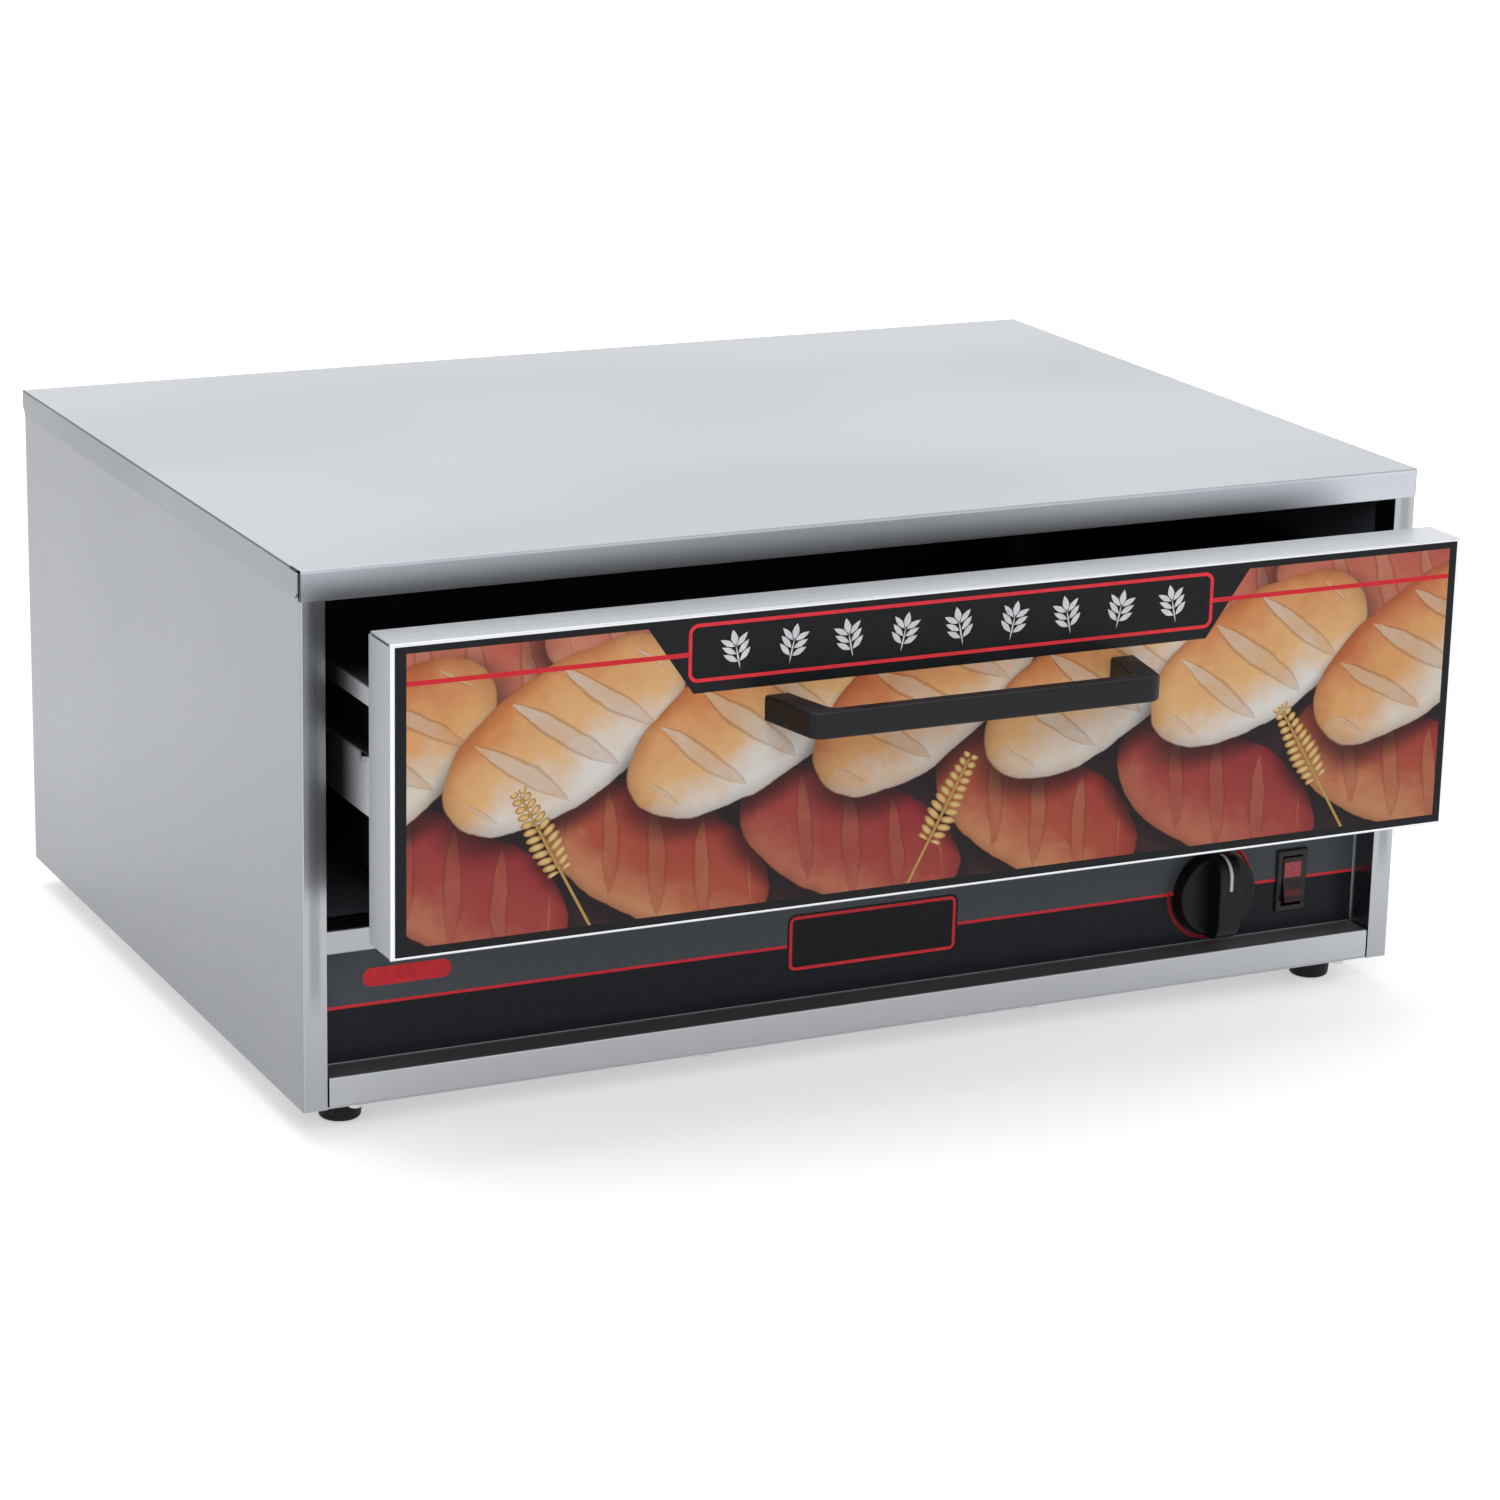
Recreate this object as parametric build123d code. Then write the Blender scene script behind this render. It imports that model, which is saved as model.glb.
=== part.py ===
from build123d import *
import os

# Outer cabinet, in millimetres
body_width = 622.0
body_depth = 438.0
body_height = 270.0
foot_height = 15.5
steel = 1.0
liner_steel = 0.8
bend_radius = 0.9

# Front frame: corner posts, header, sill and bottom rail
post_width = 12.2
post_return = 18.0
header_height = 15.0
header_return = 10.0
liner_lip = 3.0
sill_height = 12.4
control_bay_height = 79.0
bottom_rail_height = 15.2
rail_end_gap = 1.0
panel_recess = 18.0
panel_flange = 8.0

# Top cover
cover_skirt = 14.0
skirt_clip = 5.0
corner_relief = 2.2

# Chamber that the drawer runs in
rear_gap = 22.2
deck_flange = 10.0
shield_drop = 11.4
shield_inset = 15.0
vent_width = 4.0
vent_height = 34.0
vent_pitch = 12.0
vent_count = 14
vent_inset = 36.6

# Drawer front
drawer_open = 69.0
drawer_gap = 5.7
drawer_top_gap = 5.0
drawer_front_depth = 27.0
fold_gap = 0.4
label_thickness = 0.4
label_side_margin = 2.4
label_margin = 1.6
overlay_margin = 0.5

# Drawer slides
slide_height = 46.0
slide_thickness = 12.7
slide_steel = 1.2
slide_inner_steel = 1.0
slide_set_back = 27.5
cabinet_slide_step = 17.0
middle_slide_step = 56.0
race_step = 95.0
slide_rear_gap = 7.5
slide_travel = 360.0
slide_centre_height = 169.5
slide_hole_inset = 30.0
drawer_hole_step = 15.0
slide_hole_count = 3
cabinet_flange = 9.0
middle_start = 3.6
middle_web_start = 5.2
middle_end = 11.2
drawer_flange = 5.7
ball_diameter = 3.1
ball_play = 0.05
ball_count = 8
cage_steel = 0.4
cage_side_gap = 0.3
cage_ends = 2.0
hook_step = 23.0
hook_radius = 5.2
finger_radius = 2.4
finger_drop = 3.4
hook_clearance = 0.8

# Drawer rails and pan
rail_shelf = 9.0
rail_front_flange = 13.0
front_screw_inset = 4.75
pan_clearance = 4.0
pan_steel = 1.0
pan_lip = 9.0
pan_lip_gap = 0.5
pan_floor_gap = 20.6
pan_top_height = 218.0
pan_corner = 25.0
pan_bottom_radius = 9.0
rack_height = 23.0
rack_gap = 1.5
rack_rib_inset = 30.0
rack_hole_radius = 6.0
rack_columns = 14
rack_rows = 8
rack_margin = 22.0
rack_slot_length = 120.0
rack_slot_width = 56.0
rack_land = 3.0
tray_width = 240.0
tray_length = 200.0
tray_height = 18.0
tray_corner = 12.0

# Handle
handle_length = 204.0
handle_height = 13.0
handle_projection = 40.0
handle_bar_depth = 9.0
handle_leg_width = 13.5
handle_taper = 7.0
handle_bottom_above_front = 96.8
handle_corner = 8.0
handle_edge = 1.6

# Heating element
element_diameter = 8.0
element_lift = 10.0
element_bend = 20.0
element_entry_bend = 7.5
element_front = 78.0
element_half_width = 225.0
element_inner_half_width = 122.0
element_end_half_gap = 27.0
element_rear_gap = 46.0
element_loop_gap = 42.0
element_tail = 32.0
element_play = 0.05
clip_width = 14.0
clip_length = 8.0
clip_wall = 1.3
bush_radius = 8.0
bush_flange = 2.0
tail_pin_diameter = 3.2
tail_pin_length = 9.0

# Thermostat and knob
knob_from_right = 102.8
knob_height = 44.2
knob_diameter = 46.0
knob_skirt = 9.0
knob_wall = 3.0
knob_hollow = 3.4
knob_projection = 21.6
knob_gap = 0.5
knob_round = 2.0
grip_round = 1.0
grip_width = 13.5
grip_end_radius = 11.0
pointer_width = 1.8
pointer_depth = 0.5
pointer_start = 5.75
shaft_diameter = 6.0
shaft_flat = 1.2
shaft_play = 0.05
shaft_insert = 12.0
bushing_diameter = 9.6
bushing_play = 0.2
bushing_proud = 4.0
thermostat_width = 34.0
thermostat_height = 40.0
thermostat_depth = 30.0
bulb_diameter = 6.0
bulb_length = 90.0
capillary_diameter = 2.0
capillary_bend = 4.5
bulb_x = 74.0
bulb_front = 150.0
bulb_lift = 5.0

# Rocker switch
switch_from_right = 52.7
switch_height = 44.4
bezel_width = 18.4
bezel_height = 34.7
bezel_depth = 2.0
switch_body_width = 15.5
switch_body_height = 30.4
switch_body_depth = 24.0
cutout_play = 0.15
rocker_width = 12.0
rocker_length = 25.0
rocker_edge = 0.8
rocker_back = 4.5
rocker_gap = 0.3
rocker_swing = 14.0
rocker_well = 12.0
rocker_well_play = 1.5
pivot_behind_bezel = 6.4
rocker_rise = 7.0
rocker_end_rise = 8.5
pivot_radius = 1.5
pivot_length = 1.1
pivot_play = 0.05
tab_width = 4.8
tab_thickness = 0.8
tab_length = 8.0
tab_pitch = 9.0
tab_count = 3

# Mains inlet and wiring
gland_from_right = 86.0
gland_height = 34.0
gland_bore_radius = 4.2
gland_body_radius = 7.5
gland_flange_radius = 11.0
gland_projection = 10.0
gland_inner_length = 14.0
gland_nut_radius = 11.0
gland_nut_length = 5.0
block_width = 44.0
block_length = 22.0
block_height = 16.0
block_from_rear = 62.0
block_ways = 3
stud_radius = 2.5
stud_height = 14.0
stud_from_block = 40.0
lead_diameter = 2.4
lead_bend = 9.0
lead_run = 50.0

# Feet and screws
foot_radius = 11.8
foot_taper = 1.4
foot_round = 2.0
foot_inset = 29.5
foot_recess_radius = 5.0
foot_recess_depth = 5.0
screw_radius = 1.9
screw_head_radius = 3.6
screw_head_height = 2.0
screw_head_round = 1.2
screw_tip = 0.55
screw_length = 6.0
screw_play = 0.1
slot_width = 1.0
slot_depth = 0.9
bottom_screw_count = 4
bottom_screw_inset = 28.0
bottom_screw_set_back = 4.4
side_screw_count = 3
side_screw_inset = 60.0

# Places worked out from the sizes above
base = foot_height
roof = base + body_height
back = (body_depth + drawer_open + handle_projection - gland_projection) / 2
front = back - body_depth
half_width = body_width / 2
chamber_half = half_width - post_width
ceiling = roof - header_height
sill_bottom = base + control_bay_height
sill_top = sill_bottom + sill_height
deck_bottom = sill_top - steel
ledge_top = base + steel + bottom_rail_height
rear_liner_front = back - rear_gap - liner_steel
panel_front = front + panel_recess
drawer_half = chamber_half - drawer_gap
drawer_face = front - drawer_open
drawer_back = drawer_face + drawer_front_depth
drawer_bottom = sill_top + drawer_gap
drawer_top = ceiling - drawer_top_gap
slide_front = front + slide_set_back
slide_rear = rear_liner_front - slide_rear_gap
cabinet_slide_front = slide_front + cabinet_slide_step
middle_slide_front = slide_front + middle_slide_step
drawer_slide_front = slide_front - drawer_open
drawer_slide_rear = slide_rear - drawer_open
slide_centre = base + slide_centre_height
outer_race = slide_height / 2 - slide_steel
middle_outer = outer_race - ball_diameter - 2 * ball_play
middle_inner = middle_outer - slide_inner_steel
drawer_race = middle_inner - ball_diameter - 2 * ball_play
rail_top = base + pan_top_height - pan_steel
shelf_top = slide_centre + drawer_race + steel
pan_wall_half = chamber_half - slide_thickness - rail_shelf - pan_clearance
pan_lip_half = chamber_half - slide_thickness + steel
pan_rim = pan_lip_half - pan_wall_half
pan_front = drawer_back + pan_lip_gap
pan_rear = drawer_slide_rear + pan_steel + pan_lip_gap
pan_bottom = sill_top + pan_floor_gap
rack_top = pan_bottom + pan_steel + rack_height
knob_x = half_width - knob_from_right
knob_z = base + knob_height
switch_x = half_width - switch_from_right
switch_z = base + switch_height
element_z = sill_top + element_lift
gland_x = half_width - gland_from_right
gland_z = base + gland_height
middle_share = 0.5
outer_cage_share = 0.25
inner_cage_share = 0.75


def block(x0, x1, y0, y1, z0, z1):
    """A box between two opposite corners."""
    centre = Pos((x0 + x1) / 2, (y0 + y1) / 2, (z0 + z1) / 2)
    return centre * Box(x1 - x0, y1 - y0, z1 - z0)


def rod(start, direction, radius, length):
    """A round bar that starts at a point and runs along a direction."""
    plane = Plane(origin=start, z_dir=direction)
    return plane.location * Cylinder(radius, length, align=(Align.CENTER, Align.CENTER, Align.MIN))


def drill(place, direction, radius, reach=4.0):
    """The cutter of a round hole through thin sheet at a place."""
    plane = Plane(origin=place, z_dir=direction)
    return plane.location * Cylinder(radius, 2 * reach)


def spread(count, low, high):
    """Places at even steps from low to high."""
    step = (high - low) / (count - 1)
    return [low + step * number for number in range(count)]


def pan_screw(seat, direction, length=screw_length):
    """A slotted pan-head screw: the head's underside lies on the seat."""
    head = rod((0, 0, 0), (0, 0, -1), screw_head_radius, screw_head_height)
    head = fillet(head.edges().sort_by(Axis.Z)[0], screw_head_round)
    shank = rod((0, 0, 0), (0, 0, 1), screw_radius, length)
    shank = chamfer(shank.edges().sort_by(Axis.Z)[-1], screw_tip)
    top = -screw_head_height
    slot = block(-screw_head_radius, screw_head_radius, -slot_width / 2, slot_width / 2,
                 top, top + slot_depth)
    return Plane(origin=seat, z_dir=direction).location * (head + shank - slot)


def clear_hole(place, direction):
    """The hole that a screw passes through."""
    return drill(place, direction, screw_radius + screw_play)


def group(pieces):
    """Separate like pieces kept together as one sub-part."""
    return Compound(children=list(pieces))


def other_side(piece):
    """The same piece made for the right-hand side."""
    return mirror(piece, about=Plane.YZ)


# Screw places shared by the pieces that they hold together
bottom_screw_places = [
    (x, front + bottom_screw_set_back, base)
    for x in spread(bottom_screw_count, -half_width + bottom_screw_inset, half_width - bottom_screw_inset)
]
side_screw_ys = spread(side_screw_count, front + side_screw_inset, back - side_screw_inset)
side_screw_x = half_width - post_width / 2
rear_screw_zs = spread(side_screw_count, base + side_screw_inset / 2, roof - side_screw_inset / 2)
slide_screw_ys = spread(slide_hole_count, cabinet_slide_front + slide_hole_inset,
                        slide_rear - slide_hole_inset)
drawer_slide_screw_ys = spread(slide_hole_count, drawer_slide_front + race_step + drawer_hole_step,
                               drawer_slide_rear - slide_hole_inset)


def top_cover():
    """Folded cover: flat top, side skirts outside the side panels, and the header across the front."""
    outer = half_width + steel
    top = block(-outer, outer, front, back, roof - steel, roof)
    header = block(-half_width, half_width, front, front + steel, ceiling, roof)
    lip_half = half_width - steel
    lip = block(-lip_half, lip_half, front, front + header_return, ceiling, ceiling + steel)
    piece = top + header + lip
    for side in (-1, 1):
        inner_x = side * half_width
        outer_x = side * outer
        skirt = block(min(inner_x, outer_x), max(inner_x, outer_x), front, back, roof - cover_skirt, roof)
        corner = skirt.edges().filter_by(Axis.X).group_by(Axis.Z)[0]
        piece += chamfer(corner, skirt_clip)
        relief = block(min(inner_x, outer_x), max(inner_x, outer_x), front, front + corner_relief,
                       roof - cover_skirt, roof)
        piece -= relief
    long_edges = piece.edges().group_by(Axis.Z)[-1].filter_by(lambda edge: edge.length > body_depth / 2)
    keep = [edge for edge in long_edges if edge.center().Y < back - steel]
    return fillet(keep, bend_radius)


def left_side_panel():
    """Side sheet with its corner post, top flange, bottom flange and rear flange folded on."""
    x0 = -half_width
    wall = block(x0, x0 + steel, front, back - steel, base, roof - steel)
    post = block(x0, x0 + post_width, front, front + steel, base, ceiling)
    inner = block(x0 + post_width - steel, x0 + post_width, front, front + post_return, base, ceiling)
    sole = block(x0, x0 + post_width, front, back - steel, base + steel, base + 2 * steel)
    rear = block(x0, x0 + post_width, back - 2 * steel, back - steel, base, roof - steel)
    top = block(x0, x0 + post_width, front + header_return + steel, back - steel,
                roof - 2 * steel, roof - steel)
    piece = wall + post + inner + sole + rear + top
    piece -= block(x0, x0 + post_width, front, front + corner_relief + steel, ceiling, roof)
    piece -= block(x0 + steel, x0 + post_width, front + steel, back - 2 * steel, base, base + steel)
    for y in side_screw_ys:
        piece -= clear_hole((-side_screw_x, y, base + steel), (0, 0, 1))
    for z in rear_screw_zs:
        piece -= clear_hole((-side_screw_x, back - steel, z), (0, 1, 0))
    fold = piece.edges().filter_by(Axis.Z).filter_by(lambda edge: edge.length > body_height / 2)
    fold = [edge for edge in fold if edge.center().Y < front + steel / 2 and edge.center().X < x0 + steel / 2]
    return fillet(fold, bend_radius)


def rear_panel():
    """Flat back with a top flange, rows of vents low down and the hole for the mains lead."""
    plate = block(-half_width, half_width, back - steel, back, base, roof - steel)
    flange = block(-chamber_half, chamber_half, back - rear_gap / 2, back, roof - 2 * steel, roof - steel)
    piece = plate + flange
    vents = []
    first = -half_width + vent_inset
    for number in range(vent_count):
        x = first + vent_pitch * number
        vents.append(block(x, x + vent_width, back - 2 * steel, back + steel,
                           base + bottom_rail_height, base + bottom_rail_height + vent_height))
    piece -= vents
    piece -= drill((gland_x, back, gland_z), (0, 1, 0), gland_body_radius)
    for side in (-1, 1):
        for z in rear_screw_zs:
            piece -= clear_hole((side * side_screw_x, back, z), (0, 1, 0))
    return piece


def foot_places():
    """Centres of the four feet on the underside of the base."""
    x = half_width - foot_inset
    return [(sx * x, y, base) for sx in (-1, 1) for y in (front + foot_inset, back - foot_inset)]


def base_pan():
    """Bottom sheet that carries the feet, with an upstand along the rear."""
    floor_half = half_width - steel
    floor = block(-floor_half, floor_half, front + steel, back - 2 * steel, base, base + steel)
    upstand = block(-chamber_half, chamber_half, back - 2 * steel, back - steel,
                    base, base + bottom_rail_height)
    piece = floor + upstand
    for place in bottom_screw_places:
        piece -= clear_hole(place, (0, 0, 1))
    for place in foot_places():
        piece -= clear_hole(place, (0, 0, 1))
    for side in (-1, 1):
        for y in side_screw_ys:
            piece -= clear_hole((side * side_screw_x, y, base), (0, 0, 1))
    piece -= drill(stud_place(), (0, 0, 1), stud_radius + screw_play)
    return piece


def bottom_rail():
    """Folded front rail below the controls, standing on the base sheet between the posts."""
    half = chamber_half - rail_end_gap
    face = block(-half, half, front, front + steel, base + steel, ledge_top)
    ledge = block(-half, half, front, panel_front, ledge_top - steel, ledge_top)
    sole = block(-half, half, front, panel_front, base + steel, base + 2 * steel)
    piece = face + ledge + sole
    for place in bottom_screw_places:
        piece -= clear_hole(place, (0, 0, 1))
    edges = [edge for edge in piece.edges().filter_by(Axis.X)
             if edge.center().Y < front + steel / 2]
    return fillet(edges, bend_radius)


def sill_rail():
    """Folded rail between the control bay and the drawer."""
    face = block(-chamber_half, chamber_half, front, front + steel, sill_bottom, sill_top)
    ledge = block(-chamber_half, chamber_half, front, front + post_return + 2 * steel, deck_bottom, sill_top)
    under = block(-chamber_half, chamber_half, front, panel_front + panel_flange,
                  sill_bottom, sill_bottom + steel)
    piece = face + ledge + under
    edges = [edge for edge in piece.edges().filter_by(Axis.X)
             if edge.center().Y < front + steel / 2]
    return fillet(edges, bend_radius)


def control_panel():
    """Set-back panel behind the bottom rail, folded top and bottom, cut for the thermostat and switch."""
    low = base + steel
    plate = block(-chamber_half, chamber_half, panel_front, panel_front + steel, low, sill_bottom)
    foot = block(-chamber_half, chamber_half, panel_front, panel_front + panel_flange, low, low + steel)
    head = block(-chamber_half, chamber_half, panel_front, panel_front + panel_flange,
                 sill_bottom - steel, sill_bottom)
    piece = plate + foot + head
    piece -= drill((knob_x, panel_front, knob_z), (0, 1, 0), bushing_diameter / 2 + bushing_play)
    piece -= switch_cutter()
    for place in thermostat_screw_places():
        piece -= clear_hole(place, (0, 1, 0))
    return piece


def switch_cutter():
    """The rectangular hole that the rocker switch snaps into."""
    half_x = switch_body_width / 2 + cutout_play
    half_z = switch_body_height / 2 + cutout_play
    reach = label_thickness + 2 * steel
    return block(switch_x - half_x, switch_x + half_x, panel_front - reach, panel_front + reach,
                 switch_z - half_z, switch_z + half_z)


def thermostat_screw_places():
    """Two screws, one each side of the thermostat's bushing."""
    offset = thermostat_width / 2 - 2 * screw_radius
    return [(knob_x + side * offset, panel_front, knob_z) for side in (-1, 1)]


def control_overlay():
    """Printed film on the control panel, cut out round the knob's shaft and the switch."""
    half = chamber_half - rail_end_gap
    film = block(-half, half, panel_front - label_thickness, panel_front,
                 ledge_top + overlay_margin, sill_bottom)
    film -= drill((knob_x, panel_front, knob_z), (0, 1, 0), thermostat_width / 2)
    film -= switch_cutter()
    return film


def left_liner():
    """Inner side wall of the drawer chamber and the control bay."""
    x0 = -chamber_half - liner_steel
    piece = block(x0, -chamber_half, front + post_return, rear_liner_front + liner_steel,
                  base + 2 * steel, ceiling)
    for y in slide_screw_ys:
        piece -= clear_hole((-chamber_half, y, slide_centre), (1, 0, 0))
    return piece


def top_liner():
    """Ceiling of the chamber, with a small lip folded down behind the header."""
    inset = front + header_return
    high = ceiling + liner_steel
    half = chamber_half + liner_steel
    narrow = block(-chamber_half, chamber_half, inset, front + post_return, ceiling, high)
    wide = block(-half, half, front + post_return, rear_liner_front + liner_steel, ceiling, high)
    lip = block(-chamber_half, chamber_half, inset, inset + liner_steel, ceiling - liner_lip, high)
    return narrow + wide + lip


def rear_liner():
    """Inner back wall of the chamber."""
    return block(-chamber_half, chamber_half, rear_liner_front, rear_liner_front + liner_steel,
                 sill_top, ceiling)


def heat_deck():
    """Floor of the chamber, which carries the heating element on its clips."""
    y0 = front + post_return + 2 * steel
    y1 = rear_liner_front + liner_steel
    piece = block(-chamber_half, chamber_half, y0, y1, deck_bottom, sill_top)
    for side in (-1, 1):
        a = side * chamber_half
        b = side * (chamber_half - steel)
        piece += block(min(a, b), max(a, b), y0, y1, sill_top - deck_flange, sill_top)
    for x in (-element_end_half_gap, element_end_half_gap):
        piece -= drill((x, front + element_front, sill_top), (0, 0, 1), bush_radius - bush_flange)
    piece -= drill((bulb_x, front + bulb_front - capillary_bend - bulb_diameter, sill_top), (0, 0, 1),
                   capillary_diameter)
    return piece


def heat_shield():
    """Tray of thin sheet under the deck that keeps the heat off the wiring."""
    half = chamber_half - 2 * steel
    low = deck_bottom - shield_drop
    y0 = front + post_return + 2 * steel + element_front
    y1 = rear_liner_front - shield_inset
    tray = block(-half, half, y0, y1, low, low + liner_steel)
    for side in (-1, 1):
        a = side * half
        b = side * (half - liner_steel)
        tray += block(min(a, b), max(a, b), y0, y1, low, deck_bottom)
    tray -= drill((bulb_x, front + bulb_front - capillary_bend - bulb_diameter, low), (0, 0, 1),
                  capillary_diameter)
    return tray


def element_route():
    """Centre line of the heating element: two cold ends at the front, loops over the deck."""
    y_front = front + element_front
    y_mid = rear_liner_front - element_rear_gap - element_loop_gap
    y_rear = rear_liner_front - element_rear_gap
    y_turn = y_front + element_loop_gap
    half = [
        (element_end_half_gap, y_front, sill_top - element_tail),
        (element_end_half_gap, y_front, element_z),
        (element_end_half_gap, y_mid, element_z),
        (element_inner_half_width, y_mid, element_z),
        (element_inner_half_width, y_turn, element_z),
        (element_half_width, y_turn, element_z),
        (element_half_width, y_rear, element_z),
    ]
    return half + [(-x, y, z) for x, y, z in reversed(half)]


def heating_element():
    """Sheathed tubular element, bent to shape from one straight length, with a pin at each end."""
    points = element_route()
    bends = [element_bend] * (len(points) - 2)
    bends[0] = element_entry_bend
    bends[-1] = element_entry_bend
    route = FilletPolyline(*points, radius=bends)
    section = Plane(origin=route @ 0, z_dir=route % 0) * Circle(element_diameter / 2)
    piece = sweep(section, path=route)
    for x, y, z in (points[0], points[-1]):
        piece += rod((x, y, z), (0, 0, -1), tail_pin_diameter / 2, tail_pin_length)
    return piece


def deck_clips():
    """Upright clips on the deck that hold the element and the sensing bulb."""
    y_near = front + element_front + 2 * element_loop_gap
    y_far = rear_liner_front - element_rear_gap - 2 * element_loop_gap
    places = [(x, y) for x in (element_inner_half_width, element_half_width) for y in (y_near, y_far)]
    places.append((element_end_half_gap, y_near))
    top = element_z + element_diameter / 2 + clip_wall
    clips = []
    for x, y in places:
        for side in (-1, 1):
            clip = block(side * x - clip_width / 2, side * x + clip_width / 2,
                         y - clip_length / 2, y + clip_length / 2, sill_top, top)
            bore = rod((side * x, y - clip_length, element_z), (0, 1, 0),
                       element_diameter / 2 + element_play, 2 * clip_length)
            clips.append(clip - bore)
    return group(clips + bulb_clips())


def element_bushes():
    """Ceramic bushes where the element's cold ends pass through the deck."""
    bushes = []
    for x in (-element_end_half_gap, element_end_half_gap):
        y = front + element_front
        bush = rod((x, y, sill_top), (0, 0, 1), bush_radius, bush_flange)
        bush += rod((x, y, deck_bottom - bush_flange), (0, 0, 1), bush_radius - bush_flange,
                    steel + 2 * bush_flange)
        bush -= drill((x, y, sill_top), (0, 0, 1), element_diameter / 2 + element_play, element_tail)
        bushes.append(bush)
    return group(bushes)


def thermostat_body():
    """Capillary thermostat behind the panel, with a bushing through it for the shaft."""
    y0 = panel_front + steel
    half_w = thermostat_width / 2
    half_h = thermostat_height / 2
    case = block(knob_x - half_w, knob_x + half_w, y0, y0 + thermostat_depth,
                 knob_z - half_h, knob_z + half_h)
    case = fillet(case.edges().filter_by(Axis.Y), 3 * steel)
    front_end = panel_front - bushing_proud
    case += rod((knob_x, front_end, knob_z), (0, 1, 0), bushing_diameter / 2, bushing_proud + 2 * steel)
    depth = bushing_proud + steel + shaft_insert
    case -= rod((knob_x, front_end, knob_z), (0, 1, 0), shaft_diameter / 2 + shaft_play, depth)
    for x, y, z in thermostat_screw_places():
        case -= rod((x, y0, z), (0, 1, 0), screw_radius, screw_length)
    return case


def thermostat_shaft():
    """Turning shaft of the thermostat, with a flat for the knob."""
    face = panel_front - knob_projection + 2 * pointer_depth + knob_skirt / 2
    end = panel_front + steel + shaft_insert - shaft_play
    shaft = rod((knob_x, face, knob_z), (0, 1, 0), shaft_diameter / 2, end - face)
    flat_end = panel_front - bushing_proud - knob_gap
    radius = shaft_diameter / 2
    flat = block(knob_x - radius, knob_x + radius, face, flat_end,
                 knob_z + radius - shaft_flat, knob_z + radius)
    return shaft - flat


def grip_shape(inset):
    """Bar grip seen from the side, swept back into the skirt at both ends, less an even inset."""
    radius = knob_diameter / 2 - inset
    face = panel_front - knob_projection + inset
    y1 = panel_front - knob_gap - knob_skirt / 2
    bar = block(knob_x - grip_width / 2, knob_x + grip_width / 2, face, y1, knob_z - radius, knob_z + radius)
    ends = [edge for edge in bar.edges().filter_by(Axis.X) if edge.center().Y < face + steel]
    return fillet(ends, grip_end_radius)


def pointer_slab():
    """The space of the pointer line: a thin upright slice of the grip's upper half."""
    half = pointer_width / 2
    return block(knob_x - half, knob_x + half, panel_front - knob_projection, panel_front - knob_skirt,
                 knob_z + pointer_start, knob_z + knob_diameter / 2)


def knob_pointer():
    """White line let into the grip."""
    slab = pointer_slab() & grip_shape(0.0)
    return slab - grip_shape(pointer_depth)


def control_knob():
    """Moulded knob: a round skirt with a bar grip across it."""
    y1 = panel_front - knob_gap - label_thickness
    skirt = rod((knob_x, y1, knob_z), (0, -1, 0), knob_diameter / 2, knob_skirt)
    rim = skirt.edges().sort_by(Axis.Y)[0]
    skirt = fillet(rim, knob_round)
    limit = rod((knob_x, panel_front, knob_z), (0, -1, 0), knob_diameter / 2, knob_projection)
    grip = grip_shape(0.0) & limit
    long_edges = [edge for edge in grip.edges().filter_by(Axis.Z)
                  if edge.center().Y < panel_front - knob_projection + steel]
    grip = fillet(long_edges, grip_round)
    piece = skirt + grip
    piece -= rod((knob_x, panel_front, knob_z), (0, -1, 0), bushing_diameter / 2 + bushing_play,
                 bushing_proud + 2 * knob_gap)
    piece -= rod((knob_x, panel_front, knob_z), (0, -1, 0), knob_diameter / 2 - knob_wall,
                 knob_gap + label_thickness + knob_hollow)
    piece -= thermostat_shaft()
    return piece - knob_pointer()


def switch_housing():
    """Snap-in switch case: bezel in front of the panel, body behind it and a well for the rocker."""
    bezel_front = panel_front - label_thickness - bezel_depth
    bezel = block(switch_x - bezel_width / 2, switch_x + bezel_width / 2, bezel_front,
                  panel_front - label_thickness, switch_z - bezel_height / 2, switch_z + bezel_height / 2)
    rim = [edge for edge in bezel.edges() if edge.center().Y < bezel_front + bezel_depth / 4]
    bezel = chamfer(rim, bezel_depth / 3)
    half_w = switch_body_width / 2
    half_h = switch_body_height / 2
    body = block(switch_x - half_w, switch_x + half_w, panel_front - label_thickness,
                 panel_front + switch_body_depth, switch_z - half_h, switch_z + half_h)
    well_w = rocker_width / 2 + rocker_gap
    well_h = rocker_length / 2 + rocker_well_play
    well = block(switch_x - well_w, switch_x + well_w, bezel_front, bezel_front + rocker_well,
                 switch_z - well_h, switch_z + well_h)
    pivot = rod((switch_x - well_w - pivot_length, bezel_front + pivot_behind_bezel, switch_z), (1, 0, 0),
                pivot_radius + pivot_play, 2 * (well_w + pivot_length))
    return bezel + body - well - pivot


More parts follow.
